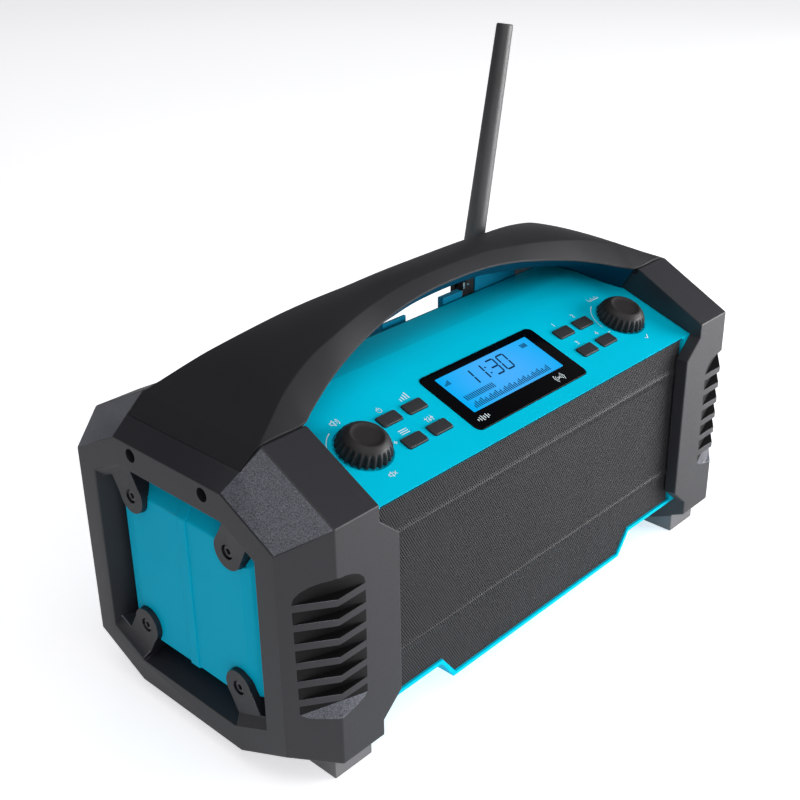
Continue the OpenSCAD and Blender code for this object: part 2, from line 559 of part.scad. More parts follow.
// ---------- boards and battery ----------
module main_board() {
  color([0.05, 0.30, 0.15]) union() {
    box([-70, 22, 36], [70, 23.6, 118]);
    box([-30, 23.5, 60], [-14, 26, 76]);
    box([10, 23.5, 84], [34, 27, 100]);
    box([-62, 23.5, 44], [-54, 34 - 6, 58]);
  }
}
module power_board() {
  color([0.05, 0.30, 0.15]) union() {
    box([57, 26, 29], [98, 62, 30.6]);
    box([60, 28, 30.5], [70, 40, 46]);
  }
}
module transformer() {
  color([0.35, 0.30, 0.22]) union() {
    box([72, 32, 31], [96, 58, 56]);
    box([76, 27, 35], [92, 63, 52]);
  }
}
module battery_pack() {
  color([0.10, 0.10, 0.12]) union() {
    box([-46, 37, 35.2], [46, 63, 100.8]);
    box([-40, 62.9, 41], [40, 65, 95]);
  }
}
module battery_contacts() {
  color([0.80, 0.68, 0.35]) for (x = [-24, 0, 24]) box([x - 3, 32.8, 60], [x + 3, 36.8, 76]);
}

// ---------- aerial ----------
module aerial_bracket() {
  color([0.05, 0.05, 0.05]) difference() {
    union() {
      box([53, 22.3, 137.5], [70.4, 35.5, 145.4]);
      box([53, 22.3, 145], [67.6, 35.5, 151.5]);
      ycyl(7.3, ap[0], ap[2], 22.3, 35.5);
      // stop block in front of the hinge, standing in the gap of the rail
      difference() {
        union() {
          yprism([[42.7, 140], [42.7, 151.9], [44.3, 153.8], [46.5, 157], [52.6, 157], [52.6, 140]], 18.1, 22.6);
          box([46, 21.9, 140], [58, 22.6, 157]);
        }
        xprism(case_prof(0.15), 40, 60);
      }
    }
    // slot between the two cheeks
    box([40, 25, 142.4], [90, 32, 170]);
    ycyl(1.55, ap[0], ap[2], 10, 34);
    ycyl(3.2, ap[0], ap[2], 33.3, 50);
  }
}
module aerial_rod() {
  r1 = aerial_tip_d / 2;
  color([0.06, 0.06, 0.065]) translate(ap) rotate([0, aerial_lean, 0]) difference() {
    union() {
      rotate([90, 0, 0]) translate([0, 0, -3.3]) cylinder(r = 5, h = 6.6);
      translate([-4, -3.3, 0]) cube([8, 6.6, 11]);
      rotate_extrude() polygon([[0, 9.4], [5, 9.4], [5.4, 10.2], [5.5, 22], [r1 + 0.1, aerial_len - 1], [r1 - 0.6, aerial_len], [0, aerial_len]]);
    }
    rotate([90, 0, 0]) translate([0, 0, -5]) cylinder(r = 1.6, h = 10);
  }
}
module aerial_screw() {
  color([0.78, 0.78, 0.80]) translate([ap[0], 33.5, ap[2]]) rotate([-90, 0, 0]) difference() {
    union() {
      cylinder(r = 2.9, h = 1.9);
      translate([0, 0, -10.6]) cylinder(r = 1.5, h = 10.7);
    }
    translate([-0.5, -4, 1.2]) cube([1, 8, 2]);
  }
}

// ---------- rear door ----------
module rear_door() {
  w = door_w / 2;
  color([0.14, 0.14, 0.15]) difference() {
    union() {
      box([-w + door_gap, 67.5, 29 + door_gap], [w - door_gap, 70, 107 - door_gap]);
      // raised finger pull
      box([w - 12, 69.9, 58], [w - 4, 72.4, 78]);
      // stiffening frame
      for (z = [34, 92]) box([-38, 69.9, z], [w - 16, 71, z + 9]);
      // hinge leaf and knuckles
      for (z = [32, 56.3, 92.3]) let (h = z == 56.3 ? 23.4 : 11.4) {
        translate([-56.2, 73.7, z]) cylinder(r = 3.4, h = h);
        box([-56.2, 70.4, z], [-46, 73, z + h]);
        box([-w + door_gap + 0.2, 69, z], [-46, 70.6, z + h]);
      }
    }
    translate([-56.2, 73.7, 20]) cylinder(r = 1.6, h = 100);
    box([w - 10.4, 70.8, 60], [w - 5.6, 80, 76]);
  }
}
module door_seal() {
  color([0.03, 0.03, 0.03]) difference() {
    box([-49.3, 65.2, 32.7], [49.3, 67.3, 103.3]);
    box([-47.2, 60, 34.8], [47.2, 80, 101.2]);
  }
}
module door_hinge_pin() {
  color([0.70, 0.70, 0.72]) translate([-56.2, 73.7, 31]) cylinder(r = 1.5, h = 74);
}

// ---------- sockets ----------
module dc_socket() {
  color([0.06, 0.06, 0.06]) difference() {
    union() {
      box([-96.5, 48, 44.5], [-86.5, 60.8, 55.5]);
      ycyl(3.2, -91.5, 50, 60, 64.6);
    }
    ycyl(2.6, -91.5, 50, 52, 70);
  }
}
module aux_socket() {
  color([0.06, 0.06, 0.06]) difference() {
    union() {
      box([-85.5, 47, 46], [-78.5, 60.8, 54]);
      ycyl(2.5, -82, 50, 60, 64.6);
    }
    ycyl(1.8, -82, 50, 48.5, 70);
  }
}
module usb_socket() {
  color([0.60, 0.60, 0.62]) difference() {
    box([-76.7, 46, 47.1], [-69.3, 64.6, 52.9]);
    box([-76.1, 50, 47.7], [-69.9, 70, 52.3]);
  }
}
module socket_flap() {
  color([0.05, 0.05, 0.05]) union() {
    box([-99, case_ry + 0.2, 39], [-65, case_ry + 2, 61.9]);
    box([-97.4, case_ry - 1.2, 40.6], [-66.6, case_ry + 0.3, 59.4]);
    // bead along the top edge, which the flap turns about
    xcyl(0.95, -99, -65, case_ry + 1.15, 62.45);
  }
}
module flap_strip() {
  color([0.05, 0.05, 0.05]) box([-99, case_ry + 0.2, 64.3], [-65, case_ry + 2, 67.8]);
}

front_case();
rear_case();
aerial_rail();
aerial_clip();
case_seal();
left_bumper();
right_bumper();
left_side_cover();
right_side_cover();
cover_screws();
bumper_screws();
case_screws();
handle_cover();
handle_liner();
handle_screws();
feet();
speaker_grille();
left_speaker_frame();
left_speaker_cone();
left_speaker_magnet();
right_speaker_frame();
right_speaker_cone();
right_speaker_magnet();
display_lens();
lcd_module();
control_board();
tact_switches();
main_board();
power_board();
transformer();
battery_pack();
battery_contacts();
volume_encoder();
volume_shaft();
volume_knob();
tuning_encoder();
tuning_shaft();
tuning_knob();
power_button();
mode_button();
menu_button();
sound_button();
preset_button_1();
preset_button_2();
preset_button_3();
preset_button_4();
aerial_bracket();
aerial_rod();
aerial_screw();
rear_door();
door_seal();
door_hinge_pin();
dc_socket();
aux_socket();
usb_socket();
socket_flap();
flap_strip();
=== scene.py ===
import bpy, bmesh, math
from mathutils import Vector, Matrix


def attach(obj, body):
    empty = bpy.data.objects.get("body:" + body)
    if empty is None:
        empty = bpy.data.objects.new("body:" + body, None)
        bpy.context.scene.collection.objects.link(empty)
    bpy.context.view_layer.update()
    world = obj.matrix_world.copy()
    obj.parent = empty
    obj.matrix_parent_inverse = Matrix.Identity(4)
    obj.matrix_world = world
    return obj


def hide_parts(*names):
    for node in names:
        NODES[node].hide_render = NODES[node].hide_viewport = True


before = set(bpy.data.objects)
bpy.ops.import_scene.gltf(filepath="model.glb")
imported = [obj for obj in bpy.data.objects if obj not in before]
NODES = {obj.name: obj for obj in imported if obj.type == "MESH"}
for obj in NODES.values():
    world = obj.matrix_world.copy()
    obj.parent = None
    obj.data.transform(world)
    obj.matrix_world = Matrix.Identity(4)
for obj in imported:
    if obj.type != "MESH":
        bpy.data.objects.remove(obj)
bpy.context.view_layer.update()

# Jobsite radio. Lengths below are in millimetres in the row frame, and every
# mesh is written out in metres. Origin: middle of the footprint, front = -Y.
MM = 0.001
scene = bpy.context.scene

HW, FY = 170.0, 81.4
X_STR, X_IN = HW - 20.6, HW - 45.7
CP, SP = math.cos(math.radians(19)), math.sin(math.radians(19))
PY0, PZ0 = -74.3, 126.6


# ------------------------------------------------------------------ helpers
def panel(x, s, h=0.0):
    """A place on the control panel: x across, s up the slope, h above it."""
    return (x, PY0 + s * CP - h * SP, PZ0 + s * SP + h * CP)


def panel_at(x, s):
    return lambda p: panel(x + p[0], s + p[1], p[2])


class Build:
    """Collects verts and faces for one piece."""

    def __init__(self):
        self.v, self.f, self.m = [], [], []

    def add(self, verts, faces, m=0, at=None):
        base = len(self.v)
        self.v += [at(p) for p in verts] if at else list(verts)
        for f in faces:
            self.f.append([i + base for i in f])
            self.m.append(m)
        return self

    def obj(self, name, mats, body="case", replaces=(), sharp=32, flat=False):
        me = bpy.data.meshes.new(name)
        me.from_pydata([(p[0] * MM, p[1] * MM, p[2] * MM) for p in self.v], [], self.f)
        for i, poly in enumerate(me.polygons):
            poly.material_index = self.m[i]
            poly.use_smooth = not flat
        me.update()
        if not flat:
            me.set_sharp_from_angle(angle=math.radians(sharp))
        return place(bpy.data.objects.new(name, me), mats, body, replaces)


def place(ob, mats, body, replaces):
    if ob.name not in scene.collection.objects:
        scene.collection.objects.link(ob)
    if mats is not None:
        picked = [p.material_index for p in ob.data.polygons]
        ob.data.materials.clear()
        for m in mats if isinstance(mats, (list, tuple)) else [mats]:
            ob.data.materials.append(m)
        for p, i in zip(ob.data.polygons, picked):
            p.material_index = i
    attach(ob, body)
    if replaces:
        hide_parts(*([replaces] if isinstance(replaces, str) else replaces))
    return ob


def rings(rows, closed=True, cap0=True, cap1=True):
    """Quads between rows of equal length."""
    n = len(rows[0])
    v = [p for r in rows for p in r]
    f = []
    for k in range(len(rows) - 1):
        for i in range(n if closed else n - 1):
            j = (i + 1) % n
            f.append([k * n + i, k * n + j, (k + 1) * n + j, (k + 1) * n + i])
    if cap0:
        f.append(list(range(n - 1, -1, -1)))
    if cap1:
        f.append([(len(rows) - 1) * n + i for i in range(n)])
    return v, f


def revolve(profile, n=48, shape=None, cap0=True, cap1=True):
    """Round solid about z from (r, z) points, bottom first; shape(a, r, z) may change r."""
    rows = []
    for r, z in profile:
        rows.append([((shape(2 * math.pi * i / n, r, z) if shape else r) * math.cos(2 * math.pi * i / n),
                      (shape(2 * math.pi * i / n, r, z) if shape else r) * math.sin(2 * math.pi * i / n), z) for i in range(n)])
    return rings(rows, True, cap0, cap1)


def rrect(w, h, r, n=6):
    out = []
    for cx, cy, a0 in ((w / 2 - r, h / 2 - r, 0), (-w / 2 + r, h / 2 - r, 90), (-w / 2 + r, -h / 2 + r, 180), (w / 2 - r, -h / 2 + r, 270)):
        for k in range(n + 1):
            a = math.radians(a0 + 90 * k / n)
            out.append((cx + r * math.cos(a), cy + r * math.sin(a)))
    return out


def slab(w, h, r, z0, z1, bev=0.3, seg=3, n=6, dome=0.0, bottom=True):
    """Rounded rectangular slab with a rounded top edge and a slightly domed top."""
    rows = [[(x, y, z0) for x, y in rrect(w, h, r, n)]]
    for k in range(seg + 1):
        a = math.pi / 2 * k / seg
        o, z = bev * (1 - math.cos(a)), z1 - bev + bev * math.sin(a)
        rows.append([(x, y, z) for x, y in rrect(w - 2 * o, h - 2 * o, max(r - o, 0.05), n)])
    if dome:
        for t in (0.85, 0.6, 0.3):
            rows.append([(x, y, z1 + dome * (1 - t * t)) for x, y in rrect((w - 2 * bev) * t, (h - 2 * bev) * t, max((r - bev) * t, 0.05), n)])
    return rings(rows, True, bottom, True)


def flat_poly(pts, z):
    return [(x, y, z) for x, y in pts], [list(range(len(pts)))]


def tube(pts, radius, n=12, cap=True):
    """Round bar along points; radius is a number or a list."""
    rows = []
    up = None
    for k, p in enumerate(pts):
        p = Vector(p)
        d = (Vector(pts[min(k + 1, len(pts) - 1)]) - Vector(pts[max(k - 1, 0)])).normalized()
        if up is None:
            up = d.orthogonal().normalized()
        up = (up - d * up.dot(d)).normalized()
        side = d.cross(up)
        r = radius[k] if isinstance(radius, (list, tuple)) else radius
        rows.append([tuple(p + (up * math.cos(2 * math.pi * i / n) + side * math.sin(2 * math.pi * i / n)) * r) for i in range(n)])
    return rings(rows, True, cap, cap)


def fillet(pts, radii, seg=4):
    """Open polyline in 2D with its inner corners rounded; the same count for the same seg."""
    out = [tuple(pts[0])]
    for i in range(1, len(pts) - 1):
        a, p, b = Vector(pts[i - 1]), Vector(pts[i]), Vector(pts[i + 1])
        r = radii[i] if isinstance(radii, (list, tuple)) else radii
        u, w = (a - p), (b - p)
        lu, lw = max(u.length, 1e-6), max(w.length, 1e-6)
        u, w = u / lu, w / lw
        ang = math.acos(max(-1, min(1, u.dot(w))))
        t = min(r / max(math.tan(ang / 2), 1e-3), lu * 0.45, lw * 0.45)
        p0, p1 = p + u * t, p + w * t
        for k in range(seg + 1):
            q = k / seg
            out.append(tuple(p0 * (1 - q) ** 2 + p * 2 * q * (1 - q) + p1 * q * q))
    out.append(tuple(pts[-1]))
    return out


def even_normals(ob):
    """Shading follows the large faces, so that rounded edges show as thin highlights."""
    m = ob.modifiers.new("Even", "WEIGHTED_NORMAL")
    m.mode, m.weight, m.keep_sharp = "FACE_AREA", 100, True


def refine(node, width=0.4, seg=2, angle=28, mats=None, pick=None, body="case", sharp=30, name=None, edge_width=None, merge=2e-6):
    """A detailed copy of a CAD node: welded, flat faces joined, edges rounded."""
    src = NODES[node]
    bm = bmesh.new()
    bm.from_mesh(src.data)
    bmesh.ops.remove_doubles(bm, verts=bm.verts, dist=merge)
    bmesh.ops.dissolve_limit(bm, angle_limit=math.radians(0.8), verts=bm.verts, edges=bm.edges, use_dissolve_boundaries=False)
    done = set()
    groups = {}
    for e in bm.edges:
        if len(e.link_faces) != 2:
            continue
        a = e.calc_face_angle(0.0)
        if a < math.radians(angle):
            continue
        w = edge_width(e) if edge_width else width
        if w > 0:
            groups.setdefault(round(w, 3), []).append(e)
    for w in sorted(groups, reverse=True):
        es = [e for e in groups[w] if e.is_valid and len(e.link_faces) == 2]
        if es:
            bmesh.ops.bevel(bm, geom=es, offset=w * MM, offset_type="OFFSET", segments=seg, profile=0.5, affect="EDGES", clamp_overlap=False, miter_outer="SHARP")
    bmesh.ops.remove_doubles(bm, verts=bm.verts, dist=1e-6)
    bm.normal_update()
    me = bpy.data.meshes.new(name or node + "_skin")
    bm.to_mesh(me)
    bm.free()
    for p in me.polygons:
        p.use_smooth = True
        p.material_index = pick(p.center / MM, p.normal) if pick else 0
    me.set_sharp_from_angle(angle=math.radians(sharp))
    me.update()
    ob = bpy.data.objects.new(name or node + "_skin", me)
    even_normals(ob)
    return place(ob, mats, body, node)


# ---------------------------------------------------------------- materials
def srgb(c):
    return tuple(((v / 255) / 12.92 if v <= 10 else ((v / 255 + 0.055) / 1.055) ** 2.4) for v in c)


def material(name, color, rough=0.5, metal=0.0, coat=0.0, coat_rough=0.08, spec=0.5,
             vary=0.10, vary_scale=60.0, grain=(900.0, 0.25), fine=None, rough_vary=0.08, sheen=0.0, stretch=None, emission=None, painted_light_lift=None):
    """Procedural plastic, rubber, metal or paint. color is linear. grain is (scale per metre, strength)."""
    m = bpy.data.materials.new(name)
    m.use_nodes = True
    t = m.node_tree
    t.nodes.clear()
    out = t.nodes.new("ShaderNodeOutputMaterial")
    b = t.nodes.new("ShaderNodeBsdfPrincipled")
    t.links.new(b.outputs[0], out.inputs[0])
    b.inputs["Metallic"].default_value = metal
    b.inputs["Specular IOR Level"].default_value = spec
    b.inputs["Coat Weight"].default_value = coat
    b.inputs["Coat Roughness"].default_value = coat_rough
    b.inputs["Sheen Weight"].default_value = sheen
    co = t.nodes.new("ShaderNodeTexCoord")
    vec = co.outputs["Object"]
    if stretch:
        mp = t.nodes.new("ShaderNodeMapping")
        mp.inputs["Scale"].default_value = stretch
        t.links.new(vec, mp.inputs["Vector"])
        vec = mp.outputs["Vector"]
    # slow colour variation
    n1 = t.nodes.new("ShaderNodeTexNoise")
    n1.inputs["Scale"].default_value = vary_scale
    n1.inputs["Detail"].default_value = 4.0
    t.links.new(vec, n1.inputs["Vector"])
    ramp = t.nodes.new("ShaderNodeValToRGB")
    ramp.color_ramp.elements[0].position = 0.3
    ramp.color_ramp.elements[1].position = 0.7
    ramp.color_ramp.elements[0].color = (*[c * (1 - vary) for c in color], 1)
    ramp.color_ramp.elements[1].color = (*[min(1, c * (1 + vary)) for c in color], 1)
    t.links.new(n1.outputs["Fac"], ramp.inputs["Fac"])
    # fine grain: in the surface, the roughness and a little in the colour
    n2 = t.nodes.new("ShaderNodeTexNoise")
    n2.inputs["Scale"].default_value = grain[0]
    n2.inputs["Detail"].default_value = 3.0
    n2.inputs["Roughness"].default_value = 0.6
    t.links.new(vec, n2.inputs["Vector"])
    rr = t.nodes.new("ShaderNodeMapRange")
    rr.inputs["From Min"].default_value = 0.3
    rr.inputs["From Max"].default_value = 0.7
    rr.inputs["To Min"].default_value = max(0.02, rough - rough_vary)
    rr.inputs["To Max"].default_value = min(1.0, rough + rough_vary)
    t.links.new(n2.outputs["Fac"], rr.inputs["Value"])
    t.links.new(rr.outputs["Result"], b.inputs["Roughness"])
    color_out = ramp.outputs["Color"]
    if fine:
        mx = t.nodes.new("ShaderNodeMix")
        mx.data_type = "RGBA"
        mx.blend_type = "MULTIPLY"
        mx.inputs[0].default_value = 1.0
        r2 = t.nodes.new("ShaderNodeValToRGB")
        r2.color_ramp.elements[0].position = 0.35
        r2.color_ramp.elements[1].position = 0.68
        r2.color_ramp.elements[0].color = (fine[0],) * 3 + (1,)
        r2.color_ramp.elements[1].color = (fine[1],) * 3 + (1,)
        t.links.new(n2.outputs["Fac"], r2.inputs["Fac"])
        t.links.new(color_out, mx.inputs[6])
        t.links.new(r2.outputs["Color"], mx.inputs[7])
        color_out = mx.outputs[2]
    if painted_light_lift:
        # painted light: paler from the first given height down to the second, by the third value as a factor, for the
        # light falling on the lower part
        sx = t.nodes.new("ShaderNodeSeparateXYZ")
        t.links.new(co.outputs["Object"], sx.inputs[0])
        lr = t.nodes.new("ShaderNodeMapRange")
        for key, val in (("From Min", painted_light_lift[0]), ("From Max", painted_light_lift[1]), ("To Min", 1.0), ("To Max", painted_light_lift[2])):
            lr.inputs[key].default_value = val
        t.links.new(sx.outputs["Z"], lr.inputs["Value"])
        lm = t.nodes.new("ShaderNodeVectorMath")
        lm.operation = "SCALE"
        t.links.new(color_out, lm.inputs[0])
        t.links.new(lr.outputs["Result"], lm.inputs["Scale"])
        color_out = lm.outputs["Vector"]
    t.links.new(color_out, b.inputs["Base Color"])
    if grain[1]:
        bp = t.nodes.new("ShaderNodeBump")
        bp.inputs["Strength"].default_value = grain[1]
        bp.inputs["Distance"].default_value = 0.00012
        t.links.new(n2.outputs["Fac"], bp.inputs["Height"])
        t.links.new(bp.outputs["Normal"], b.inputs["Normal"])
    if emission:
        b.inputs["Emission Color"].default_value = (*emission[0], 1)
        b.inputs["Emission Strength"].default_value = emission[1]
    return m


M = {}
M["cyan"] = material("Cyan_plastic", (0.0, 0.53, 0.74), 0.50, spec=0.02, vary=0.03, vary_scale=25, grain=(1500, 0.12), rough_vary=0.05)
# side covers: a darker copy of the cyan plastic, painted shade in the recess between the bumpers
M["cyan_side"] = material("Cyan_plastic_side_painted_shade", (0.0, 0.44, 0.66), 0.50, spec=0.05, vary=0.04, vary_scale=18, grain=(1400, 0.10), rough_vary=0.05)
# rear case: a darker copy of the cyan plastic, painted shade behind and under the handle
M["cyan_rear"] = material("Cyan_plastic_rear_painted_shade", (0.001, 0.40, 0.57), 0.50, spec=0.15, vary=0.04, vary_scale=22, grain=(1300, 0.15), rough_vary=0.06)
# aerial rail and clip: a darker copy of the cyan plastic, painted shade under the handle
M["cyan_rail"] = material("Cyan_plastic_rail_painted_shade", (0.0005, 0.20, 0.34), 0.50, spec=0.05, vary=0.04, vary_scale=22, grain=(1300, 0.15), rough_vary=0.06)
# handle underside: the cyan plastic darkened, painted shade under the handle
M["liner"] = material("Cyan_liner_painted_shade", (0.0005, 0.036, 0.070), 0.55, spec=0.08, vary=0.05, vary_scale=25, grain=(1300, 0.12))
M["bumper"] = material("Bumper_rubber", (0.0068, 0.0071, 0.0115), 0.50, spec=0.64, vary=0.05, vary_scale=30, grain=(1800, 0.25), rough_vary=0.06)
# a darker copy of the bumper rubber: painted shade inside the corner pockets
M["bumper_dark"] = material("Bumper_rubber_recess_painted_shade", (0.003, 0.003, 0.0036), 0.6, spec=0.2, vary=0.05, vary_scale=30, grain=(1800, 0.2), rough_vary=0.06)
# right bumper: a lighter copy of the same bumper rubber, painted light for the light falling on the right end
M["bumper_right"] = material("Bumper_rubber_right_painted_light", (0.0125, 0.0128, 0.0172), 0.50, spec=0.64, vary=0.05, vary_scale=30, grain=(1800, 0.25), rough_vary=0.06)
M["bumper_coarse"] = material("Bumper_grained", (0.064, 0.067, 0.082), 0.50, spec=0.7, vary=0.06, vary_scale=35, grain=(1900, 1.0), fine=(0.25, 2.6), rough_vary=0.22)
M["handle"] = material("Handle_plastic", (0.0185, 0.0186, 0.0215), 0.48, spec=0.22, vary=0.05, vary_scale=30, grain=(1600, 0.12), rough_vary=0.05)
M["grille"] = material("Grille_metal", (0.035, 0.0353, 0.0378), 0.48, spec=0.25, metal=0.0, vary=0.06, vary_scale=40, grain=(1500, 0.10))
M["cloth"] = material("Backing_cloth", (0.004, 0.004, 0.0045), 0.95, spec=0.1, vary=0.2, vary_scale=300, grain=(2600, 0.6))
M["knob"] = material("Knob_rubber", (0.0165, 0.0140, 0.0145), 0.50, spec=0.36, vary=0.06, vary_scale=60, grain=(1500, 0.30), rough_vary=0.08)
M["button"] = material("Button_rubber", (0.020, 0.021, 0.024), 0.50, spec=0.5, vary=0.06, vary_scale=80, grain=(1800, 0.30), rough_vary=0.08)
M["lens"] = material("Lens_black", (0.0006, 0.0006, 0.0015), 0.16, spec=0.10, coat=0.04, coat_rough=0.05, vary=0.05, vary_scale=30, grain=(400, 0.0), rough_vary=0.03)
M["black"] = material("Black_plastic", (0.012, 0.012, 0.013), 0.45, spec=0.5, vary=0.06, vary_scale=50, grain=(1600, 0.2), rough_vary=0.08)
M["seal"] = material("Seal_rubber", (0.008, 0.008, 0.009), 0.7, spec=0.3, vary=0.08, vary_scale=90, grain=(1500, 0.3))
# aerial rubber, painted paler towards the base as painted light
M["aerial"] = material("Aerial_rubber", (0.022, 0.022, 0.023), 0.50, spec=0.85, vary=0.06, vary_scale=60, grain=(1700, 0.35), rough_vary=0.08, painted_light_lift=(0.255, 0.180, 3.2))
M["foot"] = material("Foot_rubber", (0.15, 0.15, 0.157), 0.6, spec=0.4, vary=0.06, vary_scale=90, grain=(1400, 0.35))
M["steel"] = material("Screw_steel", (0.075, 0.075, 0.078), 0.36, metal=0.85, vary=0.08, vary_scale=200, grain=(2200, 0.12))
M["steel_black"] = material("Screw_black", (0.006, 0.006, 0.006), 0.4, metal=0.3, vary=0.1, vary_scale=200, grain=(2200, 0.15))
M["chrome"] = material("Bright_steel", (0.62, 0.62, 0.64), 0.22, metal=1.0, vary=0.05, vary_scale=150, grain=(2500, 0.08), rough_vary=0.06)
M["white"] = material("Panel_print", (0.75, 0.85, 0.88), 0.6, vary=0.02, vary_scale=200, grain=(2500, 0.0))
M["board"] = material("Circuit_board", (0.01, 0.09, 0.03), 0.35, coat=0.4, vary=0.25, vary_scale=260, grain=(700, 0.2), fine=(0.6, 1.4))
M["component"] = material("Component_grey", (0.16, 0.16, 0.165), 0.45, vary=0.15, vary_scale=240, grain=(1500, 0.2))
M["iron"] = material("Component_iron", (0.16, 0.13, 0.10), 0.45, metal=0.6, vary=0.15, vary_scale=200, grain=(1800, 0.2), stretch=(1, 1, 30))
M["battery"] = material("Battery_case", (0.013, 0.013, 0.016), 0.5, vary=0.08, vary_scale=80, grain=(1300, 0.35))
M["brass"] = material("Contact_brass", (0.70, 0.52, 0.22), 0.28, metal=1.0, vary=0.06, vary_scale=200, grain=(1800, 0.1))
M["shaft"] = material("Shaft_aluminium", (0.60, 0.60, 0.61), 0.30, metal=1.0, vary=0.05, vary_scale=180, grain=(2000, 0.12), stretch=(1, 1, 12))
M["speaker_steel"] = material("Speaker_steel", (0.05, 0.05, 0.052), 0.4, metal=0.7, vary=0.08, vary_scale=120, grain=(1600, 0.2))
M["paper"] = material("Cone_paper", (0.018, 0.018, 0.018), 0.85, spec=0.2, vary=0.18, vary_scale=180, grain=(900, 0.5), fine=(0.7, 1.4))
M["magnet"] = material("Magnet_ferrite", (0.045, 0.045, 0.047), 0.6, metal=0.2, vary=0.12, vary_scale=150, grain=(1300, 0.3))


# the lit display: brighter towards the middle
def lcd_material():
    m = bpy.data.materials.new("LCD_backlight")
    m.use_nodes = True
    t = m.node_tree
    t.nodes.clear()
    out = t.nodes.new("ShaderNodeOutputMaterial")
    b = t.nodes.new("ShaderNodeBsdfPrincipled")
    t.links.new(b.outputs[0], out.inputs[0])
    b.inputs["Roughness"].default_value = 0.35
    b.inputs["Coat Weight"].default_value = 0.02
    b.inputs["Coat Roughness"].default_value = 0.05
    co = t.nodes.new("ShaderNodeTexCoord")
    mp = t.nodes.new("ShaderNodeMapping")
    mp.inputs["Location"].default_value = (0.0, 0.46, -1.53)
    mp.inputs["Scale"].default_value = (11.0, 12.0, 12.0)
    t.links.new(co.outputs["Object"], mp.inputs["Vector"])
    n = t.nodes.new("ShaderNodeTexNoise")
    n.inputs["Scale"].default_value = 3.0
    n.inputs["Detail"].default_value = 2.0
    t.links.new(mp.outputs["Vector"], n.inputs["Vector"])
    g = t.nodes.new("ShaderNodeTexGradient")
    g.gradient_type = "SPHERICAL"
    t.links.new(mp.outputs["Vector"], g.inputs["Vector"])
    mul = t.nodes.new("ShaderNodeMath")
    mul.operation = "MULTIPLY_ADD"
    mul.inputs[1].default_value = 0.16
    t.links.new(n.outputs["Fac"], mul.inputs[0])
    t.links.new(g.outputs["Fac"], mul.inputs[2])
    r = t.nodes.new("ShaderNodeValToRGB")
    r.color_ramp.elements[0].position = 0.64
    r.color_ramp.elements[1].position = 0.98
    r.color_ramp.elements[0].color = (0.0, 0.44, 0.98, 1)
    r.color_ramp.elements[1].color = (0.085, 0.46, 1.08, 1)
    t.links.new(mul.outputs[0], r.inputs["Fac"])
    b.inputs["Base Color"].default_value = (0.0, 0.03, 0.05, 1)
    t.links.new(r.outputs["Color"], b.inputs["Emission Color"])
    b.inputs["Emission Strength"].default_value = 0.9
    b.inputs["Specular IOR Level"].default_value = 0.03
    return m


M["lcd"] = lcd_material()
M["lcd_ink"] = material("LCD_ink", (0.002, 0.028, 0.085), 0.5, spec=0.1, vary=0.05, vary_scale=100, grain=(800, 0.0))

# ------------------------------------------------------------------- camera
cam_data = bpy.data.cameras.new("Camera")
cam = bpy.data.objects.new("Camera", cam_data)
scene.collection.objects.link(cam)
scene.camera = cam
az, el, roll = math.radians(-46.285), math.radians(25.251), math.radians(-0.907)
back = Vector((math.sin(az) * math.cos(el), -math.cos(az) * math.cos(el), math.sin(el)))
target = Vector((-32.96, -5.20, 135.48)) * MM
right = (-back).cross(Vector((0, 0, 1))).normalized()
up = right.cross(-back)
r_ = right * math.cos(roll) + up * math.sin(roll)
u_ = up * math.cos(roll) - right * math.sin(roll)
rot = Matrix((r_, u_, back)).transposed()
cam.matrix_world = Matrix.Translation(target + back * 602.79 * MM) @ rot.to_4x4()
cam_data.sensor_width = 36.0
cam_data.lens = 1228.32 * 36.0 / 800
cam_data.shift_x = 0.0033
cam_data.shift_y = -0.0308
cam_data.clip_start, cam_data.clip_end = 0.05, 20


# ------------------------------------------------------------------ bumpers
def bumper_pick(c, n):
    s = 1 if c.x > 0 else -1
    if n.z > 0.35 and abs(n.y) > 0.3 and n.x * s > 0.2 and abs(c.x) > 151:
        return 1
    if abs(c.y) > 62 and 40 < c.z < 112 and 128 < abs(c.x) < 169:
        # inside the corner pockets: the scoop at the foot, then the walls and the tops of the fins, which get the
        # darker rubber as painted shade in the pockets
        if 0.05 < n.z < 0.98 and c.z < 48:
            return 1
        if n.z > 0.95 or -0.95 < n.z < -0.05 or (0.2 < abs(n.x) < 0.45 and abs(n.y) > 0.85):
            return 2
    return 0


def bumper_edges(e):
    c = (e.verts[0].co + e.verts[1].co) / 2 / MM
    x, y, z = abs(c.x), abs(c.y), c.z
    length = e.calc_length() / MM
    # inside of the pockets, holes and hidden faces stay crisp
    if x < 124.2 and y < 72:
        return 0
    if length < 1.6:
        return 0
    v0, v1 = e.verts[0].co / MM, e.verts[1].co / MM
    f0, f1 = e.link_faces
    convex = e.is_convex
    if not convex:
        return 0
    if y > 62 and 41 < z < 110 and x > 128:
        k = (z - 53) / 9.55
        return 0.28 if abs(v0.z - v1.z) < 0.05 and length > 6 and abs(k - round(k)) < 0.03 and y > 66 else 0.0
    if x > 158 and abs(y) < 56 and 22 < z < 127 and x < 167:
        return 0.35
    if x < 124 and y < 78:
        return 0
    if x < 148 and y < 60 and z < 140:
        return 0
    return 0.55


for side, name in ((-1, "left_bumper"), (1, "right_bumper")):
    refine(name, mats=[M["bumper"] if side < 0 else M["bumper_right"], M["bumper_coarse"], M["bumper_dark"]], pick=bumper_pick, edge_width=bumper_edges, seg=2, sharp=25)

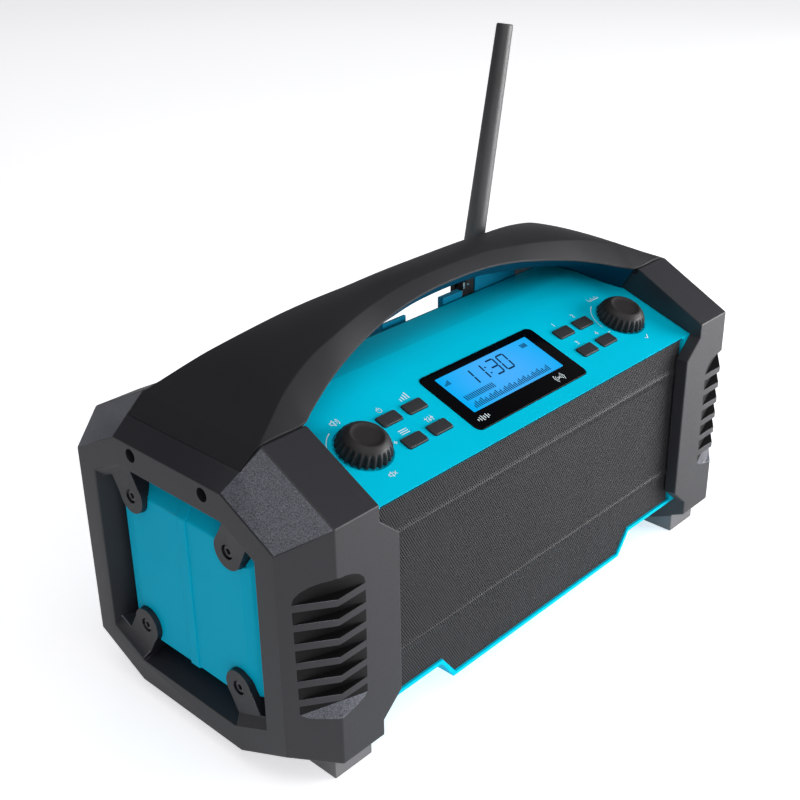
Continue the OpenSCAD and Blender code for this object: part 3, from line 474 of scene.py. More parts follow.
for name in ("left_side_cover", "right_side_cover"):
    refine(name, width=0.6, seg=3, mats=[M["cyan_side"]], sharp=40,
           edge_width=lambda e: 0.7 if e.is_convex and e.calc_length() > 0.004 and abs(e.verts[0].co.x) > 0.1525 and abs(e.verts[1].co.x) > 0.1525 else 0)


# --------------------------------------------------------------------- case
def case_edges(e):
    c = (e.verts[0].co + e.verts[1].co) / 2 / MM
    if e.calc_length() < 0.0018 or not e.is_convex:
        return 0
    if abs(c.x) > 112 and c.z < 141:
        return 0
    v0, v1 = e.verts[0].co / MM, e.verts[1].co / MM
    outside = c.y < -73.5 or c.y > 69.5 or c.z > 146.5 or c.z < 23.2
    if c.y < -70 and 124 < c.z < 128.5 and abs(c.x) < 118:
        return 0.15
    return 0.4 if outside else 0


# dark cyan for the case seal and the panel's front lip: painted shade in the joints
M["cyan_joint_painted_shade"] = material("Cyan_joint_painted_shade", (0.0, 0.045, 0.065), 0.6, spec=0.05, vary=0.03, vary_scale=25, grain=(1500, 0.1))
refine("front_case", mats=[M["cyan"]], edge_width=case_edges, sharp=28)
# thin dark strip over the lit front lip of the panel, painted shade of a gap above the grille
b = Build()
b.add(*rings([[(x, -74.33, 125.62), (x, -74.33, 126.42), (x, -74.25, 126.42), (x, -74.25, 125.62)] for x in (-117, 117)]))
b.obj("panel_lip_painted_shade", [M["cyan_joint_painted_shade"]], "case", flat=True)
refine("rear_case", mats=[M["cyan_rear"]], edge_width=case_edges, sharp=28)
for name in ("aerial_rail", "aerial_clip"):
    refine(name, width=0.3, mats=[M["cyan_rail"]], sharp=28)
refine("feet", width=0.6, seg=2, mats=[M["foot"]], sharp=30)
refine("rear_door", width=0.35, seg=2, mats=[M["black"]], body="rear_door", sharp=30,
       edge_width=lambda e: 0.35 if e.is_convex and e.calc_length() > 0.0022 and (e.verts[0].co.y > 0.0695 and e.verts[1].co.y > 0.0695) else 0)
refine("socket_flap", width=0.5, seg=3, mats=[M["seal"]], body="socket_flap", sharp=35)
refine("flap_strip", width=0.4, seg=2, mats=[M["seal"]], sharp=35)


# ------------------------------------------------------------------- handle
def _slope(T, i):
    a, b = max(i - 1, 0), min(i + 1, len(T) - 1)
    return (T[b][1] - T[a][1]) / (T[b][0] - T[a][0])


def curve(x, T):
    i = 0
    while i < len(T) - 2 and x >= T[i + 1][0]:
        i += 1
    h = T[i + 1][0] - T[i][0]
    t = (x - T[i][0]) / h
    m0 = 0 if i == 0 else _slope(T, i) * h
    m1 = _slope(T, i + 1) * h
    return (2 * t ** 3 - 3 * t * t + 1) * T[i][1] + (t ** 3 - 2 * t * t + t) * m0 + (-2 * t ** 3 + 3 * t * t) * T[i + 1][1] + (t ** 3 - t * t) * m1


def top_z(x):
    return 155.2 if x <= X_STR else 155.2 - (x - X_STR) * 14 / 20.6


T_YR = [[0, 9.4], [30, 9.5], [50, 10.9], [66, 13.2], [84, 16.6], [104, 20], [124, 26.6], [141, 34.2], [150, 37.6], [160, 38]]
T_ZR = [[0, 0], [30, 1], [50, 3], [66, 4.8], [84, 7.5], [104, 12.1], [124, 18.3], [141, 26], [150, 30.2], [160, 36.9]]
T_YF = [[0, 14.5], [22, 14.8], [43, 16.2], [62, 18.6], [82, 23], [100, 28.3], [116, 34.2], [124, 37.8], [142, 38.2], [160, 38.3]]
T_ZF = [[0, 179.5], [22, 178.8], [43, 176.5], [62, 172.9], [82, 168.6], [100, 163.5], [116, 158], [124, 155.9], [149, 155.3], [160, 148.1]]
T_DY = [[0, 0], [30, 0.4], [66, 1.2], [84, 1.7], [104, 2.7], [118, 3.2], [130, 2.7], [141, 1.4], [150, 0.7], [160, 0]]
T_DZ = [[0, 0.2], [30, 0.8], [66, 1.3], [84, 1], [104, 1], [118, 0.4], [130, 0.2], [141, 0.6], [150, 0.7], [160, 0]]
T_CR = [[0, 2], [80, 1.9], [120, 1.5], [150, 0.4], [160, 0.15]]
T_NZ = [[0, 173], [25, 172], [41, 169.4], [62, 165.8], [84, 161], [98, 156.6], [108, 151.6], [118, 144.8], [124, 139.5]]
T_NY = [[0, 9], [60, 9.2], [84, 9.8], [98, 11.5], [108, 15], [118, 22], [124, 29]]


def cover_row(x):
    a = abs(x)
    yr, zf, c = curve(a, T_YR), curve(a, T_ZF), curve(a, T_CR)
    zr = max(185 - curve(a, T_ZR), zf + 0.02)
    yf = max(curve(a, T_YF), yr + 0.1)
    zb = zf - 0.8 if a < X_IN + 0.3 else top_z(a) - 2.8
    zi = max(zr - 2.6, zb + 0.3)
    y2, z2 = yr + curve(a, T_DY), zr + curve(a, T_DZ)
    yg = max(yf, y2 + 0.1)
    crown = [(-yr + (yr + y2) * k / 8, zr + (z2 - zr) * k / 8 + c * (1 - (k / 4 - 1) ** 2)) for k in range(1, 8)]
    front = fillet([(-yf, zb), (-yf, zf), (-yr, zr)] + [crown[0]], [0, 0.3, 1.6, 0], 4)[:-1]
    back = fillet([(-yg, zb), (-yg, zf), (-y2, z2)] + [(-crown[-1][0], crown[-1][1])], [0, 0.3, 1.6, 0], 4)[:-1]
    prof = front + crown + [(-y, z) for y, z in reversed(back)]
    prof += [(yf - 2.6, zb), (yr - 1.2, zi), (0, zi + c * 0.8), (-yr + 1.2, zi), (-yf + 2.6, zb)]
    return [(x, y, z) for y, z in prof]


stations = sorted({round(s * v, 3) for s in (-1, 1) for v in [0, 3, 6, 9, 12, 15, 18, 21, 24, 27, 30, 33, 36, 39, 42, 45, 48, 51, 54, 57, 60, 63, 66, 69, 72, 75, 78, 81, 84, 87, 90, 93, 96,
    99, 102, 105, 108, 111, 114, 117, 120, 122, 123.5, 124.5, 124.7, 127, 130, 133, 136, 139, 142, 145, 147, 149, 149.8, 152, 155, 158, 160]})
b = Build()
b.add(*rings([cover_row(x) for x in stations]))
b.obj("handle_cover_skin", [M["handle"]], "case", "handle_cover", sharp=24)


def liner_row(x):
    a = abs(x)
    y0, z0 = curve(a, T_YF) - 0.4, curve(a, T_ZF) - 1
    yb, zb = min(curve(a, T_NY), y0 - 2), curve(a, T_NZ)
    side = fillet([(-y0, z0), (-yb, zb), (yb, zb)], [0, 1.4, 0], 5)[:-1]
    prof = side + [(-y, z) for y, z in reversed(side)] + [(y0 - 2.4, z0), (yb - 1, zb + 2.6), (-yb + 1, zb + 2.6), (-y0 + 2.4, z0)]
    return [(x, y, z) for y, z in prof]


lst = [x for x in stations if abs(x) <= 123.6]
b = Build()
b.add(*rings([liner_row(x) for x in lst]))
liner = b.obj("handle_liner_skin", [M["liner"]], "case", "handle_liner", sharp=30)


# ------------------------------------------------------------------- grille
def grille_front(z):
    y = -73.25
    for zc, w, d in ((107.6, 2.8, 0.8), (45.4, 3.0, 0.85)):
        t = (z - zc) / w
        if abs(t) < 1:
            y -= d * (0.5 + 0.5 * math.cos(math.pi * t))
    return y


def grille_piece(x0, x1, name):
    p, h, thick = 1.30, 1.126, 0.5
    bm = bmesh.new()
    regions = [[(-117, 25.1), (117, 25.1), (117, 125.3), (-117, 125.3)], [(-67.4, 12.7), (67.4, 12.7), (77.1, 25.1), (-77.1, 25.1)]]
    for reg in regions:
        zs = [q[1] for q in reg]
        part = bmesh.new()
        cache = {}

        def vert(ix, iz, q=None):
            key = (ix, iz, q)
            if key not in cache:
                x, z = ix * p / 2, iz * h
                if q is not None:
                    dx, dz = ((0.62, 0), (0, 0.62), (-0.62, 0), (0, -0.62))[q % 4]
                    x, z = x + dx * p / 2, z + dz * h
                y = grille_front(z) + (thick if q is not None and q > 3 else 0)
                cache[key] = part.verts.new((x, y, z))
            return cache[key]
        i0, i1 = int(max(x0, min(q[0] for q in reg)) / (p / 2)) - 2, int(min(x1, max(q[0] for q in reg)) / (p / 2)) + 2
        j0, j1 = int(min(zs) / h) - 1, int(max(zs) / h) + 2
        for i in range(i0, i1 + 1):
            for j in range(j0, j1 + 1):
                if (i + j) % 2:
                    continue
                corners = [vert(i + 1, j), vert(i, j + 1), vert(i - 1, j), vert(i, j - 1)]
                hole = [vert(i, j, q) for q in range(4)]
                deep = [vert(i, j, q + 4) for q in range(4)]
                for k in range(4):
                    n = (k + 1) % 4
                    part.faces.new((corners[k], hole[k], hole[n], corners[n]))
                    part.faces.new((hole[k], deep[k], deep[n], hole[n]))
        cuts = []
        for k in range(len(reg)):
            a, c = Vector(reg[k]), Vector(reg[(k + 1) % len(reg)])
            d = c - a
            cuts.append((Vector((a.x, 0, a.y)), Vector((d.y, 0, -d.x)).normalized()))
        cuts.append((Vector((x0, 0, 0)), Vector((-1, 0, 0))))
        cuts.append((Vector((x1, 0, 0)), Vector((1, 0, 0))))
        for co, no in cuts:
            bmesh.ops.bisect_plane(part, geom=part.verts[:] + part.edges[:] + part.faces[:], plane_co=co, plane_no=no, clear_outer=True, dist=1e-5)
        me = bpy.data.meshes.new("tmp")
        part.to_mesh(me)
        part.free()
        bm.from_mesh(me)
        bpy.data.meshes.remove(me)
    bmesh.ops.remove_doubles(bm, verts=bm.verts, dist=1e-4)
    bmesh.ops.scale(bm, vec=(MM, MM, MM), verts=bm.verts)
    bm.normal_update()
    me = bpy.data.meshes.new(name)
    bm.to_mesh(me)
    bm.free()
    for q in me.polygons:
        q.use_smooth = False
    return place(bpy.data.objects.new(name, me), [M["grille"]], "case", ())


grille_spans = [(-117, -39), (-39, 39), (39, 117)]
grille_parts = [grille_piece(a, c, "grille_mesh_%d" % (i + 1)) for i, (a, c) in enumerate(grille_spans)]
# folded rim of the grille and the dark cloth behind it
b = Build()
for reg in ([(-116.6, 25.4), (116.6, 25.4), (116.6, 125), (-116.6, 125)], [(-67, 13.1), (67, 13.1), (76.4, 25.4), (-76.4, 25.4)]):
    v, f = rings([[(x, -72.1, z) for x, z in reg], [(x, -71.95, z) for x, z in reg]])
    b.add(v, f, 1)
out = [(-117, 125.3), (-117, 25.1), (-77.1, 25.1), (-67.4, 12.7), (67.4, 12.7), (77.1, 25.1), (117, 25.1), (117, 125.3)]
inn = [(-116.5, 124.8), (-116.5, 25.6), (-76.85, 25.6), (-67.15, 13.2), (67.15, 13.2), (76.85, 25.6), (116.5, 25.6), (116.5, 124.8)]
n = len(out)
rows = []
for (pts, y) in ((out, -71.9), (out, -73.2), (inn, -73.2), (inn, -71.9)):
    rows.append([(x, y, z) for x, z in pts])
v, f = rings(rows, True, False, False)
f += [[3 * n + i, 3 * n + (i + 1) % n, (i + 1) % n, i] for i in range(n)]
b.add(v, f, 0)
b.obj("grille_rim", [M["grille"], M["cloth"]], "case", "speaker_grille", sharp=20)


# -------------------------------------------------------------------- knobs
def knob_piece(side, name, node):
    R = 13.4

    def shape(a, r, z):
        # scalloped skirt: rounded ribs that fade out below the shoulder
        if r < R - 4.2 or z < -0.15:
            return r
        w = 0.5 + 0.5 * math.cos(24 * a)
        cut = w ** 1.25
        fade = 1.0 if z < 3.2 else max(0.0, 1 - ((z - 3.2) / (3.2 + 0.5 * (1 - w))) ** 1.7)
        return r - 1.5 * cut * fade
    prof = [(9.5, -0.5), (R - 1.7, -0.5), (R - 1.5, -0.2), (R - 0.25, -0.05), (R, 0.25), (R, 0.7)]
    outer = [(R, 0.7), (R - 0.22, 2.0), (R - 0.62, 3.4), (R - 1.25, 4.8), (R - 2.15, 6.1), (R - 3.25, 7.2), (R - 4.35, 8.05), (R - 5.0, 8.45)]
    for (r0, z0), (r1, z1) in zip(outer, outer[1:]):
        for k in range(1, 4):
            prof.append((r0 + (r1 - r0) * k / 3, z0 + (z1 - z0) * k / 3))
    prof += [(R - 5.3, 8.58), (R - 5.6, 8.62), (R - 5.9, 8.56), (R - 6.3, 8.36), (R - 6.8, 8.1), (R - 7.5, 7.9), (R - 8.6, 7.8), (R - 10.5, 7.76), (0.6, 7.74)]
    b = Build()
    b.add(*revolve(prof, 288, shape), 0, panel_at(side * 98.3, 29.5))
    b.obj(name, [M["knob"]], node, node, sharp=60)


knob_piece(-1, "volume_knob_skin", "volume_knob")
knob_piece(1, "tuning_knob_skin", "tuning_knob")

# ------------------------------------------------------------------ buttons
BUTTONS = {"power_button": (-74.1, 37.4), "mode_button": (-57.3, 37.4), "menu_button": (-74.1, 21.1), "sound_button": (-57.3, 21.1),
           "preset_button_1": (57.3, 37.4), "preset_button_2": (74.1, 37.4), "preset_button_3": (57.3, 21.1), "preset_button_4": (74.1, 21.1)}
for node, (x, s) in BUTTONS.items():
    b = Build()
    b.add(*slab(12.5, 6.8, 1.2, -4.4, 0.9, bev=0.45, seg=4, n=6, dome=0.0), 0, panel_at(x, s))
    b.obj(node + "_skin", [M["button"]], node, node, sharp=40)

# ------------------------------------------------------------------ display
b = Build()
b.add(*slab(85.2, 41.2, 3.5, -2.0, 0.4, bev=0.3, seg=3, n=8), 0, panel_at(0, 29.5))
b.obj("display_lens_skin", [M["lens"]], "case", "display_lens", sharp=40)
b = Build()
b.add(*slab(69, 26.4, 0.6, 0.38, 0.44, bev=0.03, seg=1, n=3), 0, panel_at(-0.5, 32.3))
b.obj("lcd_window", [M["lcd"]], "case", sharp=40)

# seven-segment digits and plain bars on the display
INK = 0.47
SEG = {"0": "abcdef", "1": "bc", "2": "abged", "3": "abgcd", "4": "fgbc", "5": "afgcd", "6": "afgedc", "7": "abc", "8": "abcdefg", "9": "abcdfg"}


def digit(b, ch, x, s, w, h, t, slant=0.12):
    def bar(x0, s0, x1, s1):
        d = Vector((x1 - x0, s1 - s0)).normalized()
        q = Vector((-d.y, d.x)) * t / 2
        e = d * t * 0.42
        pts = [Vector((x0, s0)) + e * 0.3, Vector((x0, s0)) + e + q, Vector((x1, s1)) - e + q, Vector((x1, s1)) - e * 0.3, Vector((x1, s1)) - e - q, Vector((x0, s0)) + e - q]
        pts = [(p.x + slant * (p.y), p.y) for p in pts]
        rows = [[(p[0], p[1], INK - 0.05) for p in pts], [(p[0], p[1], INK) for p in pts]]
        v, f = rings(rows)
        b.add(v, f, 0, panel_at(x, s))
    m = h / 2
    S = {"a": (0, h, w, h), "b": (w, m, w, h), "c": (w, 0, w, m), "d": (0, 0, w, 0), "e": (0, 0, 0, m), "f": (0, m, 0, h), "g": (0, m, w, m)}
    for k in SEG[ch]:
        bar(*S[k])


def block(b, x0, s0, x1, s1, z=INK, m=0):
    v, f = rings([[(x0, s0, z - 0.05), (x1, s0, z - 0.05), (x1, s1, z - 0.05), (x0, s1, z - 0.05)], [(x0, s0, z), (x1, s0, z), (x1, s1, z), (x0, s1, z)]])
    b.add(v, f, m, panel_at(0, 0))


b = Build()
digit(b, "1", -20.6, 32.2, 5.0, 10.0, 1.05)
digit(b, "1", -12.6, 32.2, 5.0, 10.0, 1.05)
digit(b, "3", -2.6, 32.2, 5.2, 10.0, 1.05)
digit(b, "0", 5.3, 32.2, 5.2, 10.0, 1.05)
for s in (34.8, 39.2):
    block(b, -5.1, s - 0.5, -4.1, s + 0.5)
# signal bars, battery level and two rows of level marks
for k in range(4):
    block(b, -33.4 + 1.1 * k, 39.2, -32.75 + 1.1 * k, 40.2 + 0.7 * k)
block(b, 25.2, 39.6, 29.6, 40.0); block(b, 25.2, 41.8, 29.6, 42.2); block(b, 25.2, 39.6, 25.6, 42.2); block(b, 29.2, 39.6, 29.6, 42.2)
for k in range(3):
    block(b, 26.0 + 1.1 * k, 40.2, 26.8 + 1.1 * k, 41.6)
for k in range(16):
    block(b, -31.5 + 1.35 * k, 26.4, -30.85 + 1.35 * k, 29.8)
for k in range(43):
    hgt = (2.0, 3.2, 4.1, 3.0, 3.6, 4.4, 2.6, 3.4)[k % 8]
    block(b, -31.5 + 1.35 * k, 20.6, -30.85 + 1.35 * k, 20.6 + hgt)
b.obj("lcd_marks", [M["lcd_ink"]], "case", flat=True)


# ------------------------------------------------------------- panel prints
def ring_arc(b, x, s, r, a0, a1, w=0.45, z=0.05, n=28):
    pts0, pts1 = [], []
    for k in range(n + 1):
        a = math.radians(a0 + (a1 - a0) * k / n)
        # the line grows from a hair to its full width
        ww = w * (0.35 + 0.65 * k / n)
        pts0.append((x + (r - ww / 2) * math.cos(a), s + (r - ww / 2) * math.sin(a), z))
        pts1.append((x + (r + ww / 2) * math.cos(a), s + (r + ww / 2) * math.sin(a), z))
    v = pts0 + pts1
    m = n + 1
    f = [[k, k + 1, m + k + 1, m + k] for k in range(n)]
    b.add([panel(*p) for p in v], [list(reversed(q)) for q in f])


def stroke(b, pts, w=0.45, z=0.05):
    for p, q in zip(pts, pts[1:]):
        p, q = Vector(p), Vector(q)
        d = (q - p).normalized()
        e = Vector((-d.y, d.x)) * w / 2
        p, q = p - d * w * 0.3, q + d * w * 0.3
        c = [p - e, q - e, q + e, p + e]
        b.add([panel(k.x, k.y, z) for k in c], [[0, 1, 2, 3]])


def text_mesh(b, txt, x, s, size, z=0.05):
    cu = bpy.data.curves.new("t", "FONT")
    cu.body = txt
    cu.size = size
    cu.align_x, cu.align_y = "CENTER", "CENTER"
    ob = bpy.data.objects.new("t", cu)
    scene.collection.objects.link(ob)
    bpy.context.view_layer.update()
    me = bpy.data.meshes.new_from_object(ob.evaluated_get(bpy.context.evaluated_depsgraph_get()))
    b.add([panel(x + v.co.x, s + v.co.y, z) for v in me.vertices], [list(p.vertices) for p in me.polygons])
    bpy.data.objects.remove(ob)
    bpy.data.meshes.remove(me)


b = Build()
ring_arc(b, -98.3, 29.5, 16.4, 182, 113)
ring_arc(b, 98.3, 29.5, 16.4, 182, 113)
stroke(b, [(-83.6, 24.6), (-81.8, 24.6)]); stroke(b, [(-82.7, 23.7), (-82.7, 25.5)])
stroke(b, [(81.2, 24.9), (82.8, 24.9)])
for x, s, t in ((57.3, 44.3, "1"), (74.1, 44.3, "2"), (57.3, 27.8, "3"), (74.1, 27.8, "4")):
    text_mesh(b, t, x, s, 4.0)
# power sign, note, list and tone signs over the left buttons
for k in range(1):
    a = [(-74.1 + 1.35 * math.cos(math.radians(t)), 44.1 + 1.35 * math.sin(math.radians(t))) for t in range(125, 416, 15)]
    stroke(b, a, 0.4)
    stroke(b, [(-74.1, 44.3), (-74.1, 46.0)], 0.4)
for dx in (-2.6, -0.9, 0.8, 2.5):
    stroke(b, [(-57.3 + dx, 43.2), (-57.3 + dx, 44.6 + 0.5 * (dx + 2.6))], 0.6)
for ds in (-1.2, 0, 1.2):
    stroke(b, [(-76.6, 27.8 + ds), (-71.6, 27.8 + ds)], 0.42)
for dx, q in ((-1.8, 0.6), (0, -0.7), (1.8, 0.3)):
    stroke(b, [(-57.3 + dx, 26.2), (-57.3 + dx, 29.4)], 0.35)
    stroke(b, [(-57.3 + dx - 0.7, 27.8 + q), (-57.3 + dx + 0.7, 27.8 + q)], 0.6)
# speaker sign above the volume knob, crossed one below it
for (x, s, k) in ((-98.3, 48.6, 1.0), (-98.3, 11.0, 0.85)):
    stroke(b, [(x - 2.2 * k, s - 0.7 * k), (x - 2.2 * k, s + 0.7 * k), (x - 1.2 * k, s + 0.7 * k), (x, s + 1.8 * k), (x, s - 1.8 * k), (x - 1.2 * k, s - 0.7 * k), (x - 2.2 * k, s - 0.7 * k)], 0.45 * k)
    if s > 30:
        for r in (1.3, 2.4):
            stroke(b, [(x + 0.4 + r * math.cos(math.radians(t)), s + r * math.sin(math.radians(t))) for t in (-45, -22, 0, 22, 45)], 0.4)
    else:
        stroke(b, [(x + 0.9, s - 0.8), (x + 2.4, s + 0.8)], 0.4); stroke(b, [(x + 0.9, s + 0.8), (x + 2.4, s - 0.8)], 0.4)
# dial scale above the tuning knob and a tick for select below it
stroke(b, [(94.2, 48.0), (102.4, 48.0)], 0.4)
for k in range(6):
    stroke(b, [(94.2 + 1.64 * k, 48.0), (94.2 + 1.64 * k, 49.3 + (0.8 if k % 2 == 0 else 0))], 0.35)
stroke(b, [(96.9, 11.2), (98.0, 10.1), (100.2, 12.6)], 0.5)
b.obj("panel_print", [M["white"]], "case", flat=True)

# ------------------------------------------------------------ lens signs
b = Build()
# left place: plain sound waves; right place: plain radio waves
for k, hh in enumerate((1.0, 2.2, 3.2, 1.8, 2.8, 1.2)):
    x = -37.4 + 1.5 * k
    stroke(b, [(x, 14.4 - hh / 2), (x, 14.4 + hh / 2)], 0.55, 0.43)
for r in (1.1, 2.2, 3.3):
    stroke(b, [(24.5 + r * math.cos(math.radians(t)), 14.2 + r * math.sin(math.radians(t))) for t in range(-42, 43, 12)], 0.42, 0.43)
    stroke(b, [(24.5 - r * math.cos(math.radians(t)), 14.2 + r * math.sin(math.radians(t))) for t in range(-42, 43, 12)], 0.42, 0.43)
b.add([panel(24.5 + 0.55 * math.cos(math.radians(30 * k)), 14.2 + 0.55 * math.sin(math.radians(30 * k)), 0.43) for k in range(12)], [list(range(12))])
b.obj("lens_print", [M["white"]], "case", flat=True)


# ------------------------------------------------------------------- screws
def socket_screw(b, at, head_r, head_h, hole=0.52, n=36, m=0):
    """Socket head from z 0 to head_h with a chamfered rim and a six-sided recess."""
    rows = []
    for r, z in ((head_r, 0), (head_r, head_h - 0.35), (head_r - 0.1, head_h - 0.12), (head_r - 0.35, head_h), (head_r * 0.66, head_h)):
        rows.append([(r * math.cos(2 * math.pi * i / n), r * math.sin(2 * math.pi * i / n), z) for i in range(n)])

    def hexr(a, R):
        a = (a % (math.pi / 3)) - math.pi / 6
        return R * math.cos(math.pi / 6) / math.cos(a)
    for r, z in ((hole * head_r + 0.12, head_h - 0.02), (hole * head_r, head_h - 0.2), (hole * head_r * 0.98, head_h - 1.5)):
        rows.append([(hexr(2 * math.pi * i / n, r) * math.cos(2 * math.pi * i / n), hexr(2 * math.pi * i / n, r) * math.sin(2 * math.pi * i / n), z) for i in range(n)])
    v, f = rings(rows)
    b.add(v, f, m, at)


COVER_PTS = [(33.6, 110.5), (-33.6, 110.5), (33.6, 40), (-33.6, 40)]
b = Build()
for s in (-1, 1):
    for y, z in COVER_PTS:
        at = (lambda y, z, s: lambda p: (s * (HW - 6.4 + p[2]), y - s * p[0] * -1, z + p[1]))(y, z, s)
        if s < 0:
            at = (lambda y, z: lambda p: (-(HW - 6.4 + p[2]), y - p[0], z + p[1]))(y, z)
        socket_screw(b, at, 2.95, 2.2)
        v, f = revolve([(1.5, -26), (1.5, 0.1)], 16)
        b.add(v, f, 0, at)
b.obj("cover_screws_skin", [M["steel"]], "case", "cover_screws", sharp=28)
b = Build()
for s in (-1, 1):
    for y, z in ((24.6, 136), (-24.6, 136)):
        at = (lambda y, z, s: lambda p: (s * (HW - 5.9 + p[2]), y + s * p[0], z + p[1]))(y, z, s)
        socket_screw(b, at, 2.85, 2.2)
        v, f = revolve([(1.5, -27), (1.5, 0.1)], 16)
        b.add(v, f, 0, at)
b.obj("bumper_screws_skin", [M["steel_black"]], "case", "bumper_screws", sharp=28)
b = Build()
for x, z in ((106, 42), (106, 100), (-106, 42), (-106, 100)):
    at = (lambda x, z: lambda p: (x - p[0], 64.1 + p[2], z + p[1]))(x, z)
    socket_screw(b, at, 3.35, 2.4)
    v, f = revolve([(1.55, -65), (1.55, 0.1)], 16)
    b.add(v, f, 0, at)
b.obj("case_screws_skin", [M["steel"]], "case", "case_screws", sharp=28)

# ------------------------------------------------------------------- aerial
AP = Vector((60.4, 28.5, 151.5))
lean = math.radians(11.5)


def rod_at(p):
    x, y, z = p
    return (AP.x + x * math.cos(lean) + z * math.sin(lean), AP.y + y, AP.z - x * math.sin(lean) + z * math.cos(lean))


b = Build()
L = 136.0
prof = [(4.4, 9.0), (4.9, 9.2), (5.25, 9.8), (5.45, 11), (5.5, 14), (5.5, 22)]
for k in range(1, 21):
    t = k / 20
    prof.append((5.5 + (4.4 - 5.5) * t, 22 + (L - 1.2 - 22) * t))
prof += [(4.32, L - 0.7), (4.1, L - 0.25), (3.7, L - 0.03), (3.2, L), (1.2, L)]
b.add(*revolve(prof, 48), 0, rod_at)
# flattened knuckle between the cheeks of the bracket
rows = []
for y, o in ((-3.3, 0.35), (-3.0, 0.0), (3.0, 0.0), (3.3, 0.35)):
    r = 5.0 - o
    ring = [(r * math.cos(a), y, r * math.sin(a)) for a in [math.radians(180 + 180 * k / 16) for k in range(17)]]
    ring = [(-(4.6 - o), y, 11.0)] + ring + [(4.6 - o, y, 11.0)]
    rows.append(ring)
v, f = rings(rows)
b.add(v, [list(reversed(q)) for q in f], 0, rod_at)
b.obj("aerial_rod_skin", [M["aerial"]], "aerial", "aerial_rod", sharp=35)

# a darker copy of the black plastic for the aerial bracket: painted shade under the handle
M["black_deep"] = material("Black_bracket_painted_shade", (0.004, 0.004, 0.0045), 0.5, spec=0.2, vary=0.06, vary_scale=50, grain=(1600, 0.2))
refine("aerial_bracket", width=0.3, seg=2, mats=[M["black_deep"]], sharp=35)
b = Build()
b.add(*revolve([(2.9, 0), (2.9, 1.3), (2.75, 1.7), (2.3, 1.9), (1.4, 1.9), (1.3, 1.2), (0.2, 1.15)], 40), 0, lambda p: (AP.x - p[0], 33.5 + p[2], AP.z + p[1]))
b.add(*revolve([(1.5, -10.6), (1.5, 0.1)], 20), 0, lambda p: (AP.x - p[0], 33.5 + p[2], AP.z + p[1]))
b.obj("aerial_screw_skin", [M["chrome"]], "case", "aerial_screw", sharp=30)
# bright clip spring on the corner of the stop block and the end of its pin
b = Build()
for (x0, x1, y0, y1, z0, z1) in ((42.62, 42.72, 18.3, 20.6, 148.4, 151.7), (42.7, 43.1, 18.02, 18.14, 148.4, 151.9), (43.6, 45.0, 18.02, 18.14, 152.6, 156.0)):
    v = [(x, y, z) for x in (x0, x1) for y in (y0, y1) for z in (z0, z1)]
    b.add(v, [[0, 1, 3, 2], [4, 6, 7, 5], [0, 4, 5, 1], [2, 3, 7, 6], [0, 2, 6, 4], [1, 5, 7, 3]])
b.add(*revolve([(0.75, 0), (0.75, 0.22), (0.55, 0.4), (0.2, 0.42)], 20), 0, lambda p: (47.6 + p[0], 18.12 - p[2], 154.2 + p[1]))
b.obj("aerial_spring", [M["chrome"]], "case", flat=True)

# --------------------------------------------- materials on the CAD's nodes
CAD_LOOK = {
    "case_seal": "cyan_joint_painted_shade", "handle_screws": "steel", "left_speaker_frame": "speaker_steel", "right_speaker_frame": "speaker_steel",
    "left_speaker_cone": "paper", "right_speaker_cone": "paper", "left_speaker_magnet": "magnet", "right_speaker_magnet": "magnet",
    "lcd_module": "component", "control_board": "board", "tact_switches": "component", "main_board": "board", "power_board": "board",
    "transformer": "iron", "battery_pack": "battery", "battery_contacts": "brass", "volume_encoder": "component", "tuning_encoder": "component",
    "volume_shaft": "shaft", "tuning_shaft": "shaft", "door_seal": "seal", "door_hinge_pin": "chrome",
    "dc_socket": "black", "aux_socket": "black", "usb_socket": "component"}
for node, look in CAD_LOOK.items():
    ob = NODES[node]
    ob.data.materials.clear()
    ob.data.materials.append(M[look])

# -------------------------------------------------------------- floor, light
b = Build()
S = 3000
v, f = rings([[(-S, -S, -0.6), (S, -S, -0.6), (S, S, -0.6), (-S, S, -0.6)], [(-S, -S, 0), (S, -S, 0), (S, S, 0), (-S, S, 0)]])
me = bpy.data.meshes.new("floor")
me.from_pydata([(p[0] * MM, p[1] * MM, p[2] * MM) for p in v], [], f)
floor = bpy.data.objects.new("floor", me)
scene.collection.objects.link(floor)
fm = material("Floor_pale", (0.90, 0.90, 0.905), 0.6, spec=0.3, vary=0.01, vary_scale=3, grain=(200, 0.0), emission=((0.98, 0.98, 1.0), 0.26))
ft = fm.node_tree
fb = [n for n in ft.nodes if n.type == "BSDF_PRINCIPLED"][0]
fl = ft.nodes.new("ShaderNodeLightPath")
fr = ft.nodes.new("ShaderNodeMapRange")
fr.inputs["To Min"].default_value = 0.31
fr.inputs["To Max"].default_value = 0.62
ft.links.new(fl.outputs["Is Camera Ray"], fr.inputs["Value"])
ft.links.new(fr.outputs["Result"], fb.inputs["Emission Strength"])
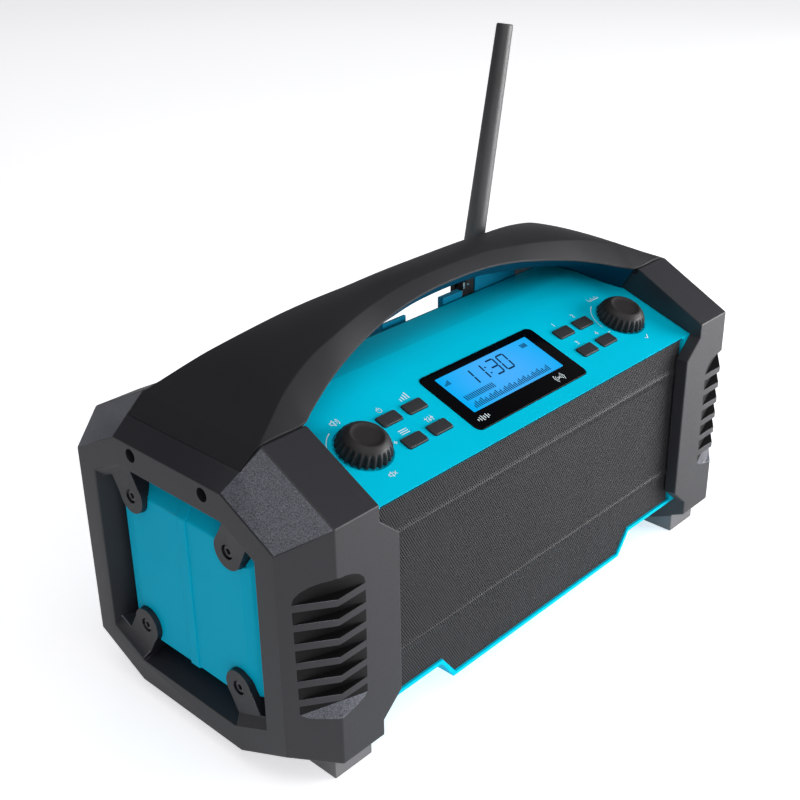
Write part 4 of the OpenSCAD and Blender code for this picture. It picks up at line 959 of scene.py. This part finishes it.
me.materials.append(fm)

world = bpy.data.worlds.new("World")
scene.world = world
world.use_nodes = True
wt = world.node_tree
wt.nodes.clear()
wo = wt.nodes.new("ShaderNodeOutputWorld")
bg_see = wt.nodes.new("ShaderNodeBackground")
bg_see.inputs["Color"].default_value = (0.97, 0.97, 0.975, 1)
bg_see.inputs["Strength"].default_value = 1.0
bg_light = wt.nodes.new("ShaderNodeBackground")
bg_light.inputs["Color"].default_value = (0.95, 0.97, 1.0, 1)
bg_light.inputs["Strength"].default_value = 0.18
lp = wt.nodes.new("ShaderNodeLightPath")
mix = wt.nodes.new("ShaderNodeMixShader")
wt.links.new(lp.outputs["Is Camera Ray"], mix.inputs[0])
wt.links.new(bg_light.outputs[0], mix.inputs[1])
wt.links.new(bg_see.outputs[0], mix.inputs[2])
wt.links.new(mix.outputs[0], wo.inputs[0])


def area(name, loc, look, size, power, color=(1, 1, 1)):
    d = bpy.data.lights.new(name, "AREA")
    d.shape = "RECTANGLE"
    d.size, d.size_y = size
    d.energy = power
    d.color = color
    o = bpy.data.objects.new(name, d)
    scene.collection.objects.link(o)
    o.location = loc
    o.rotation_mode = "QUATERNION"
    o.rotation_quaternion = (Vector(look) - Vector(loc)).to_track_quat("-Z", "Y")
    return o


area("Key", (-0.35, -0.75, 1.6), (0, 0, 0.1), (1.9, 1.7), 13.0)
area("Top", (0.1, 0.1, 2.0), (0, 0, 0.1), (1.2, 1.2), 1.0)
area("Right_front", (1.25, -1.15, 0.30), (0, 0, 0.08), (1.3, 0.7), 39)
area("Left_front", (-1.1, -1.3, 0.7), (0, 0, 0.1), (1.0, 0.8), 3.2)
area("Right", (1.7, 0.1, 0.5), (0, 0, 0.1), (1.0, 0.8), 0.5)
area("Back_right", (1.2, 1.4, 0.9), (0, 0, 0.1), (1.2, 0.6), 0.9)

scene.view_settings.view_transform = "Standard"
scene.view_settings.look = "None"
scene.view_settings.exposure = 0.0
scene.view_settings.gamma = 1.0

bpy.context.view_layer.update()
